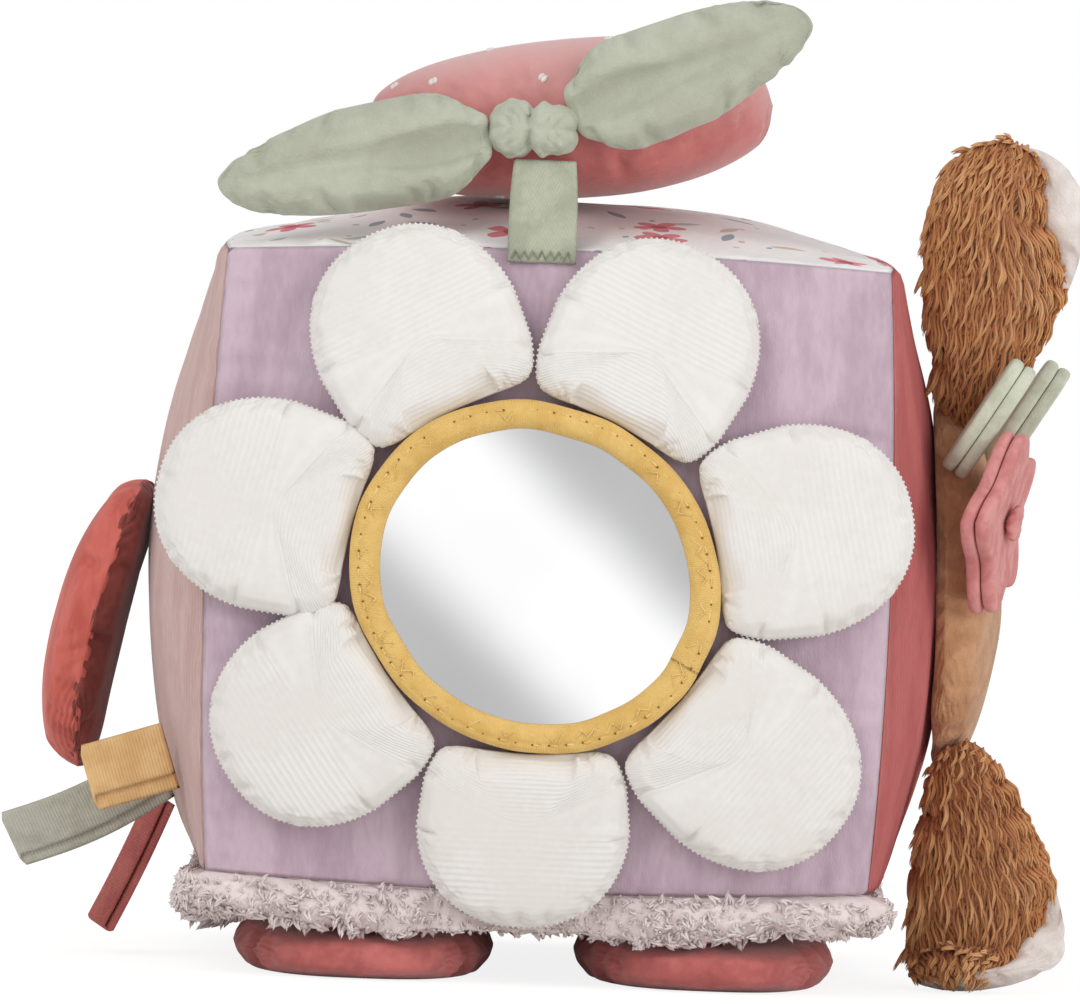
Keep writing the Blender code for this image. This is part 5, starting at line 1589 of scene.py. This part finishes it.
STRAP_WIDTH, STRAP_THICKNESS, STRAP_LAP, STRAP_RISE = 15 * MM, 1.4 * MM, 3.5 * MM, 19 * MM
STRAP = Matrix.Translation(STRAP_HINGE)
u, v = strip(40, 70)
up = v * (STRAP_LAP + STRAP_RISE)
free = np.maximum(0, up - STRAP_LAP) / STRAP_RISE
lean_back = 6.5 * MM * free**1.5
narrow = 1 - 0.1 * free**3
edge = np.minimum(1, (1 - np.abs(u)) / 0.09) ** 0.5 * np.minimum(1, np.minimum(v, 1 - v) / 0.02) ** 0.5
nap = lumps(np.stack((u * STRAP_WIDTH / 2, up * 0.35), -1), 1.3 * MM, 71) * 0.1 * MM
flat = np.stack((u * STRAP_WIDTH / 2, up), -1)
halves = []
for side in (-1, 1):
    thick = side * edge * (STRAP_THICKNESS / 2 + nap)
    grid = np.stack((u * STRAP_WIDTH / 2 * narrow, lean_back + thick, up), -1)
    halves.append(moved(grid, STRAP))
strap = build_shell("strawberry_strap_tape", *halves, sage_tape, flat)
place_piece(strap, "strap", ("strawberry_strap",))
steps = np.arange(15)
zig = np.where(steps % 2 == 0, 0.7 * MM, 2.6 * MM)
zig = np.stack(((steps / 14 * 2 - 1) * 6.6 * MM, np.full(15, -0.95 * MM), zig), -1)
strap_seam = thread("strap_zigzag_thread", moved(zig, STRAP), 0.45 * MM, sage_thread, "strap")
print("strap faces", count(strap, strap_seam))


# %% Strawberry
def berry_relief(flat, turn, share, side):
    along = -np.cos(turn) * share
    gather = np.exp(-((along + 1) / 0.28) ** 2)
    front = lumps(flat * (1, 0.2), 5 * MM, 81) * 0.9 * MM * gather
    seam = gathers(turn, share, 42 * MM, 8 * MM, 0.5 * MM, 82, 0.16)
    return front + seam + lumps(flat, 24 * MM, 83) * 0.5 * MM


berry = sew("strawberry_body", coral_velour, "strawberry", 3, berry_relief)


def spot_on(name, half, s, t):
    """Place and outward direction of the point at shares s, t of a pad's grid."""
    grid = pads[name]["fine"][half]
    other = pads[name]["fine"][1 - half]
    i, j = int((s + 1) / 2 * (grid.shape[0] - 1)), int((t + 1) / 2 * (grid.shape[1] - 1))
    normal = grid_normals(grid[i - 1 : i + 2, j - 1 : j + 2], (grid - (grid + other) / 2)[i, j])[1, 1]
    return Vector(grid[i, j]), Vector(normal)


def seed_lines(name, spots, along):
    """Two close stitches for each seed, laid flat on the cloth along the given direction."""
    points, edges = [], []
    for half, s, t in spots:
        place, normal = spot_on(name, half, s, t)
        way = (along - along.dot(normal) * normal).normalized()
        across = normal.cross(way)
        for shift in (-0.4 * MM, 0.4 * MM):
            middle = place + across * shift - normal * 0.2 * MM
            points += [middle, middle + way * 0.1 * MM]
            edges.append((len(points) - 2, len(points) - 1))
    mesh = bpy.data.meshes.new("seed_lines")
    mesh.from_pydata(points, edges, [])
    made = bpy.data.objects.new("seed_lines", mesh)
    bpy.context.scene.collection.objects.link(made)
    return made


SEED_ROWS = {
    -0.86: (-0.06,),
    -0.72: (-0.55, 0.42),
    -0.5: (-0.72, 0.15, 0.6),
    -0.42: (-0.25,),
    -0.08: (-0.5, -0.02, 0.4),
    0.3: (-0.68, -0.25, 0.2, 0.64),
    0.7: (-0.35, 0.05, 0.45),
}
spots = [(0, -s, t) for s, row in SEED_ROWS.items() for t in row]
spots += [(1, -s, t) for s, row in SEED_ROWS.items() for t in row if s > -0.45]
values = {"Spacing": 5 * MM, "Length": 2.3 * MM, "Thickness": 1.5 * MM, "Seed": 3, "Material": white_thread}
lines = seed_lines("strawberry_body", spots, Vector((0.25, 1, 0)))
seeds = run_tree("strawberry_seeds", lines, stitch_tree, values, "strawberry")
print("strawberry faces", count(berry, seeds), "seeds", len(spots))


# %% Knot and leaves
def knot_relief(flat, turn, share, side):
    off_line = flat[..., 1] + 0.5 * MM + lumps(flat, 6 * MM, 90) * 0.5 * MM
    groove = np.exp(-np.abs(off_line / (1.3 * MM)) ** 1.5)
    folds = lumps(flat * (0.6, 1), 3.4 * MM, 91) * 0.5 * MM + lumps(flat, 1.5 * MM, 92) * 0.28 * MM
    return 0.6 * MM - 2.3 * MM * groove + folds


def leaf_relief(seed, length):
    def relief(flat, turn, share, side):
        along = flat[..., 1] / length + 0.5
        near = np.exp(-along / 0.2)
        folds = lumps(flat * (1, 0.08), 4 * MM, seed) * 0.9 * MM * near * (1 - share**8)
        line = 0.8 * MM * np.sin(along * 5)
        open_out = (0.7 + 4.5 * along) * MM
        run = np.clip(1.6 - along * 2.4, 0, 1) * (1 - share**6)
        depth = (-3.2 if side > 0 else -0.8) * MM
        crease = depth * np.exp(-np.abs((flat[..., 0] - line) / open_out) ** 1.4) * run
        seam = gathers(turn, share, 20 * MM, 6 * MM, 0.35 * MM, seed + 1, 0.12)
        return folds + crease + seam + lumps(flat, 12 * MM, seed + 2) * 0.35 * MM

    return relief


knot = sew("bow_knot", sage_velour, "strawberry", 4, knot_relief)
left_leaf = sew("left_bow_leaf", sage_velour, "left_leaf", 4, leaf_relief(94, 60 * MM))
right_leaf = sew(
    "right_bow_leaf", sage_velour, "right_leaf", 4, leaf_relief(98, 56 * MM)
)
print("bow faces", count(knot, left_leaf, right_leaf))

# %% [markdown]
# ## Flap and labels
# The flap is a puffy velour cover and a darker lining, painted darker still as shade on the flap's
# inner face, with crinkle film between. It hangs from a seam on the left face. The labels are folded
# woven ribbons: each strip goes out, turns round at its tip and comes back a little to one side, so
# both layers show with a dark line between them.


# %% Flap
def flap_relief(seed):
    def relief(flat, turn, share, side):
        seam = gathers(turn, share, 30 * MM, 7 * MM, 0.5 * MM, seed, 0.15)
        return seam + lumps(flat, 16 * MM, seed + 1) * 0.4 * MM * (1 - share**6)

    return relief


cover = sew("flap_cover", rust_velour, "flap", 3, flap_relief(101))
lining = sew("flap_lining", rust_lining, "flap", 3, flap_relief(105))
print("flap faces", count(cover, lining))


# %% Ribbons
LAYER = 0.65 * MM
CARE_HALF_WIDTH, CARE_DROP = 11 * MM, 15 * MM
RIBBON_HALF = 0.8 * MM


def ribbon_label(name, body, place, drop, turn, length, width, skew, bow, material):
    """A folded ribbon: a strip that runs out, round the tip and back, with its layers skewed."""
    frame_of = Matrix.Translation(Vector(place)) @ Matrix.Rotation(math.pi - drop, 4, "Y")
    frame_of = frame_of @ Matrix.Rotation(turn, 4, "X")
    gap = RIBBON_HALF - LAYER / 2
    out = length - RIBBON_HALF
    bend = np.linspace(-math.pi / 2, math.pi / 2, 13)
    path = [(x, -gap, 0) for x in np.linspace(0, out, 25)[:-1]]
    path += [(out + gap * math.cos(a), gap * math.sin(a), (a + math.pi / 2) / math.pi) for a in bend]
    path += [(x, gap, 1) for x in np.linspace(out, 0, 25)[1:]]
    path = np.array(path)
    ahead = np.gradient(path[:, :2], axis=0)
    ahead /= np.linalg.norm(ahead, axis=1, keepdims=True)
    square = np.stack((ahead[:, 1], -ahead[:, 0]), -1)
    strip_width = width - skew
    rows = np.linspace(-1, 1, 17)
    edge = np.minimum(1, (1 - np.abs(rows)) / 0.12) ** 0.5
    halves = []
    walked = np.concatenate(([0], np.cumsum(np.linalg.norm(np.diff(path[:, :2], axis=0), axis=1))))
    flat = np.stack(np.broadcast_arrays(rows[None] * strip_width / 2, walked[:, None]), -1)
    ends = np.minimum(1, np.minimum(walked, walked[-1] - walked) / (0.4 * MM)) ** 0.5
    for side in (1, -1):
        offset = side * LAYER / 2 * edge[None] * ends[:, None]
        x = path[:, 0, None] + square[:, 0, None] * offset
        y = path[:, 1, None] + square[:, 1, None] * offset
        shift = (path[:, 2, None] - 0.5) * skew
        z = rows[None] * strip_width / 2 + shift + bow * np.sin(np.clip(x / length, 0, 1) * math.pi)
        halves.append(moved(np.stack((x, y, z), -1), frame_of))
    piece = build_shell(name + "_ribbon", *halves, material, flat)
    place_piece(piece, body, (name,))
    return piece


hinge_of = {joint["child"]: Vector(joint["pos_m"]) for joint in frame["joints"] if "pos_m" in joint}
yellow = ribbon_label(
    "yellow_label", "yellow_label", hinge_of["yellow_label"], math.radians(18), 0, 19 * MM, 15 * MM,
    3.4 * MM, 0.0, yellow_ribbon,
)
green = ribbon_label(
    "green_label", "green_label", hinge_of["green_label"], math.radians(27), 0, 37 * MM, 13 * MM, 2.6 * MM,
    1.6 * MM, sage_ribbon,
)
coral = ribbon_label(
    "coral_label", "coral_label", hinge_of["coral_label"], math.radians(66), math.radians(62), 32 * MM,
    13 * MM, 3 * MM, 0.8 * MM, coral_ribbon,
)
print("ribbon faces", count(yellow, green, coral))

# %% Care label
u, v = strip(24, 16)
wave = 0.25 * MM * np.sin(u * 2.6) * v
edge = np.minimum(1, (1 - np.abs(u)) / 0.05) ** 0.5 * np.minimum(1, np.minimum(v, 1 - v) / 0.06) ** 0.5
flat = np.stack((u * CARE_HALF_WIDTH, v * CARE_DROP), -1)
care_place = Matrix.Translation(hinge_of["care_label"])
spots = [np.stack((flat[..., 0], side * 0.4 * MM * edge + wave, -flat[..., 1]), -1) for side in (-1, 1)]
halves = [moved(grid, care_place) for grid in spots]
care = build_shell("care_label_ribbon", *halves, white_ribbon, flat)
place_piece(care, "care_label", ("care_label",))
print("care label faces", count(care))

# %% [markdown]
# ## Rabbit head
# The head is a flat stuffed plush, sewn to the right face, with its crown towards the front. Its
# face is a plain animal face: two closed eyes and a small nose, embroidered in thread. Each ear
# has a long-haired back and a smooth white lining. The fur is the part that a viewer notices, so
# it is made of real locks: flat strands that start together, wave alike and end in a point.


# %% Head
def head_relief(flat, turn, share, side):
    seam = gathers(turn, share, 36 * MM, 7 * MM, 0.35 * MM, 111, 0.12)
    return seam + lumps(flat, 14 * MM, 112) * 0.35 * MM


head = sew("rabbit_head", tan_plush, "block", 3, head_relief)
front_is_out = pads["rabbit_head"]["fine"][0]


def on_face(y, z, rise=0.05 * MM):
    """Place on the head's outer side at that depth and height."""
    flat = front_is_out[..., 1:] - np.array((y, z))
    spot = np.unravel_index(np.argmin((flat**2).sum(-1)), flat.shape[:2])
    return (float(front_is_out[spot][0]) + rise, y, z)


stitched = []
for number, sign in enumerate((-1, 1)):
    eye_y, eye_z = HEAD_Y + 14 * MM, MIDDLE + sign * 17 * MM
    turns = np.linspace(-1.35, 1.35, 19)
    arc = [on_face(eye_y + 2.6 * MM * math.cos(a), eye_z + 4.2 * MM * math.sin(a)) for a in turns]
    stitched.append(thread(f"closed_eye_{number + 1}", arc, 1.1 * MM, brown_thread, "block"))
for row in range(9):
    half = (4.2 - 0.42 * row) * MM
    y = HEAD_Y + (18 + 0.62 * row) * MM
    line = [on_face(y, MIDDLE + t * half) for t in np.linspace(-1, 1, 9)]
    stitched.append(thread(f"nose_stitch_{row + 1}", line, 0.75 * MM, rose_thread, "block"))
mouth = []
for t in np.linspace(-1, 1, 25):
    low = 23.5 + 3.2 * abs(t) ** 0.6 - 1.0 * abs(t) ** 3
    mouth.append(on_face(HEAD_Y + low * MM, MIDDLE + t * 4.5 * MM))
stitched.append(thread("mouth_stitch", mouth, 0.8 * MM, brown_thread, "block"))
print("head faces", count(head, *stitched))


# %% Ears
def fur_skin_relief(flat, turn, share, side):
    return lumps(flat, 9 * MM, 130) * 0.3 * MM


def lining_relief(flat, turn, share, side):
    return gathers(turn, share, 20 * MM, 5 * MM, 0.3 * MM, 131, 0.12)


FUR_SIZE = 1.05 * MM, 10 * MM, 1.5 * MM
fur_lock = lock_shape("fur_lock", 3, 9, 0.3, 0.26, 1.2, -0.7, 0.3, 3, 121)
ear_faces = 0
for number, ear in enumerate(("upper_ear", "lower_ear")):
    skin = sew(ear + "_fur", brown_fur, ear, 2, fur_skin_relief)
    smooth = sew(ear + "_lining", white_plush, ear, 3, lining_relief)
    # The ear's skin takes the fur's painted root shade, 0.35 of the way to the tips.
    mark_along(skin, 0.35)
    grid, under = pads[ear + "_fur"]["fine"]
    comb = np.gradient(grid, axis=0) * (-1 if ear == "upper_ear" else 1)
    comb /= np.maximum(np.linalg.norm(comb, axis=-1, keepdims=True), 1e-9)
    faces = facing_quads(grid, grid_normals(grid, grid - under))
    grow = 1 - 0.5 * disc_grid(grid.shape[0] - 1)[1].ravel() ** 4
    surface = comb_surface(grid.reshape(-1, 3), faces, comb.reshape(-1, 3), grow)
    fur = locks(
        ear + "_locks", surface, *FUR_SIZE, 0.12, 0.2, fur_lock, brown_fur, ear, "brown_fur", 17 + number
    )
    ear_faces += count(skin, smooth, fur)
print("ear faces", ear_faces)


# %% Felt flower, button and leaves
def felt_layer(name, rule, matrix, steps, material, body, stands_for=(), fill=0.06):
    """A cut piece of felt: flat faces and a square edge."""
    turn, share = disc_grid(steps)
    share = 1 - (1 - share) ** 1.7
    lift = np.sqrt(np.maximum(0, 1 - share ** (2 / fill)))
    halves = [moved(rule(turn, share, side * lift), matrix) for side in (1, -1)]
    flat = np.stack((np.cos(turn) * share, np.sin(turn) * share), -1) * 20 * MM
    piece = build_shell(name, *halves, material, flat)
    return place_piece(piece, body, stands_for)


BLOOM_RADIUS, BLOOM_THICKNESS, BLOOM_FLARE = 21 * MM, 6.4 * MM, 0.28
BLOOM_Z = MIDDLE + 14 * MM
BLOOM_Y = HEAD_Y - 32 * MM
BLOOM_X = float(side_reach(np.array(BLOOM_Y), np.array(BLOOM_Z))) + SOFT_GAP + HEAD_THICKNESS + 2.4 * MM
BLOOM = Matrix.Translation((BLOOM_X, BLOOM_Y, BLOOM_Z)) @ Matrix.Rotation(math.radians(-14), 4, "Z")


def bloom_rule(level, half, spin, size, curl):
    """A felt layer with five notches round it."""
    def rule(turn, share, lift):
        wave = (1 + np.cos(5 * (turn + spin))) / 2
        notch = 1 - 0.26 * wave * share
        y = size * np.cos(turn) * share * notch
        z = size * np.sin(turn) * share * notch
        flare = BLOOM_FLARE * np.maximum(0, z) + curl * share**3 * np.cos(5 * (turn + spin) + math.pi)
        return np.stack((level + half * lift + flare, y, z), -1)

    return rule


felt_back = felt_layer(
    "felt_flower_back", bloom_rule(-1.62 * MM, 1.57 * MM, 0, BLOOM_RADIUS, 0.0), BLOOM, 60, pink_felt,
    "block", ("felt_flower",),
)
felt_front = felt_layer(
    "felt_flower_front", bloom_rule(1.62 * MM, 1.57 * MM, 0, BLOOM_RADIUS * 0.98, 0.0), BLOOM, 60,
    pink_felt, "block",
)


def button_rule(turn, share, lift):
    """The gathered button, which follows the flower's flare."""
    y, z = 4 * MM * np.cos(turn) * share, 4 * MM * np.sin(turn) * share
    tuck = 0.25 * MM * np.cos(10 * turn) * share**2
    x = BLOOM_THICKNESS / 2 + SEAM_GAP + 1.5 * MM * (1 + lift) + BLOOM_FLARE * np.maximum(0, z) + tuck
    return np.stack((x, y, z), -1)


button = felt_layer(
    "flower_button_cloth", button_rule, BLOOM, 30, pink_felt, "block", ("flower_button",), 0.8
)


def felt_leaf_rule(level, half):
    """A felt leaf: blunt tip, straight edge."""
    def rule(turn, share, lift):
        square = np.where(np.cos(turn) > 0, 0.4, 1.0)
        along, across = power(np.cos(turn), square) * share, power(np.sin(turn), square) * share
        width = 7.5 * MM * (1 - 0.25 * along)
        return np.stack((14.5 * MM * (1 + along), width * across, level + half * lift), -1)

    return rule


FELT_LEAF_Z = BLOOM_Z + BLOOM_RADIUS / 2
felt_pieces = [felt_back, felt_front, button]
for side, leaf_y, rise in (
    ("front", HEAD_Y - 30.2 * MM, HEAD_EDGE + 2 * MM), ("back", HEAD_Y, HEAD_THICKNESS - 0.6 * MM)
):
    leaf_x = float(side_reach(np.array(leaf_y), np.array(FELT_LEAF_Z))) + SOFT_GAP + rise
    spot = Matrix.Translation((leaf_x, leaf_y, FELT_LEAF_Z)) @ Matrix.Rotation(math.radians(-58), 4, "Y")
    name = "felt_leaf_" + side
    for layer, level, node in (("_outer", 1.57 * MM, (name,)), ("_inner", -1.57 * MM, ())):
        rule = felt_leaf_rule(level, 1.53 * MM)
        piece = felt_layer(name + layer, rule, spot, 40, sage_felt, "block", node)
        felt_pieces.append(piece)
print("felt faces", count(*felt_pieces))

# %% [markdown]
# ## Lobes, inner layers and the end
# The block stands on two padded velour lobes. Inside are the filling, its plug, the rattle and
# the mirror's board and wadding: their plain solids have the right shapes already, so they stay,
# each with its own finish.


# %% Lobes
def lobe_relief(flat, turn, share, side):
    return gathers(turn, share, 45 * MM, 8 * MM, 0.3 * MM, 141, 0.1) * (side > 0)


lobes = []
for lobe in ("left_lobe", "right_lobe"):
    lobes.append(sew(lobe, lobe_velour, "block", 3, lobe_relief))
print("lobe faces", count(*lobes))

# %% Inner layers
INNER = {
    wadding: ("fibre_filling", "pocket_plug", "mirror_wadding"),
    foam_board: ("mirror_board",),
    white_plastic: (
        "rattle_shell_front", "rattle_shell_back", "rattle_bead_1", "rattle_bead_2", "rattle_bead_3"
    ),
    clear_film: ("flap_crinkle_film",),
}
for material, names in INNER.items():
    for name in names:
        frame["nodes"][name].data.materials.clear()
        frame["nodes"][name].data.materials.append(material)
print("inner finishes", [material.name for material in INNER])

# %% Remove the lock shapes
for shape in (curl_lock, fur_lock):
    bpy.data.objects.remove(shape)
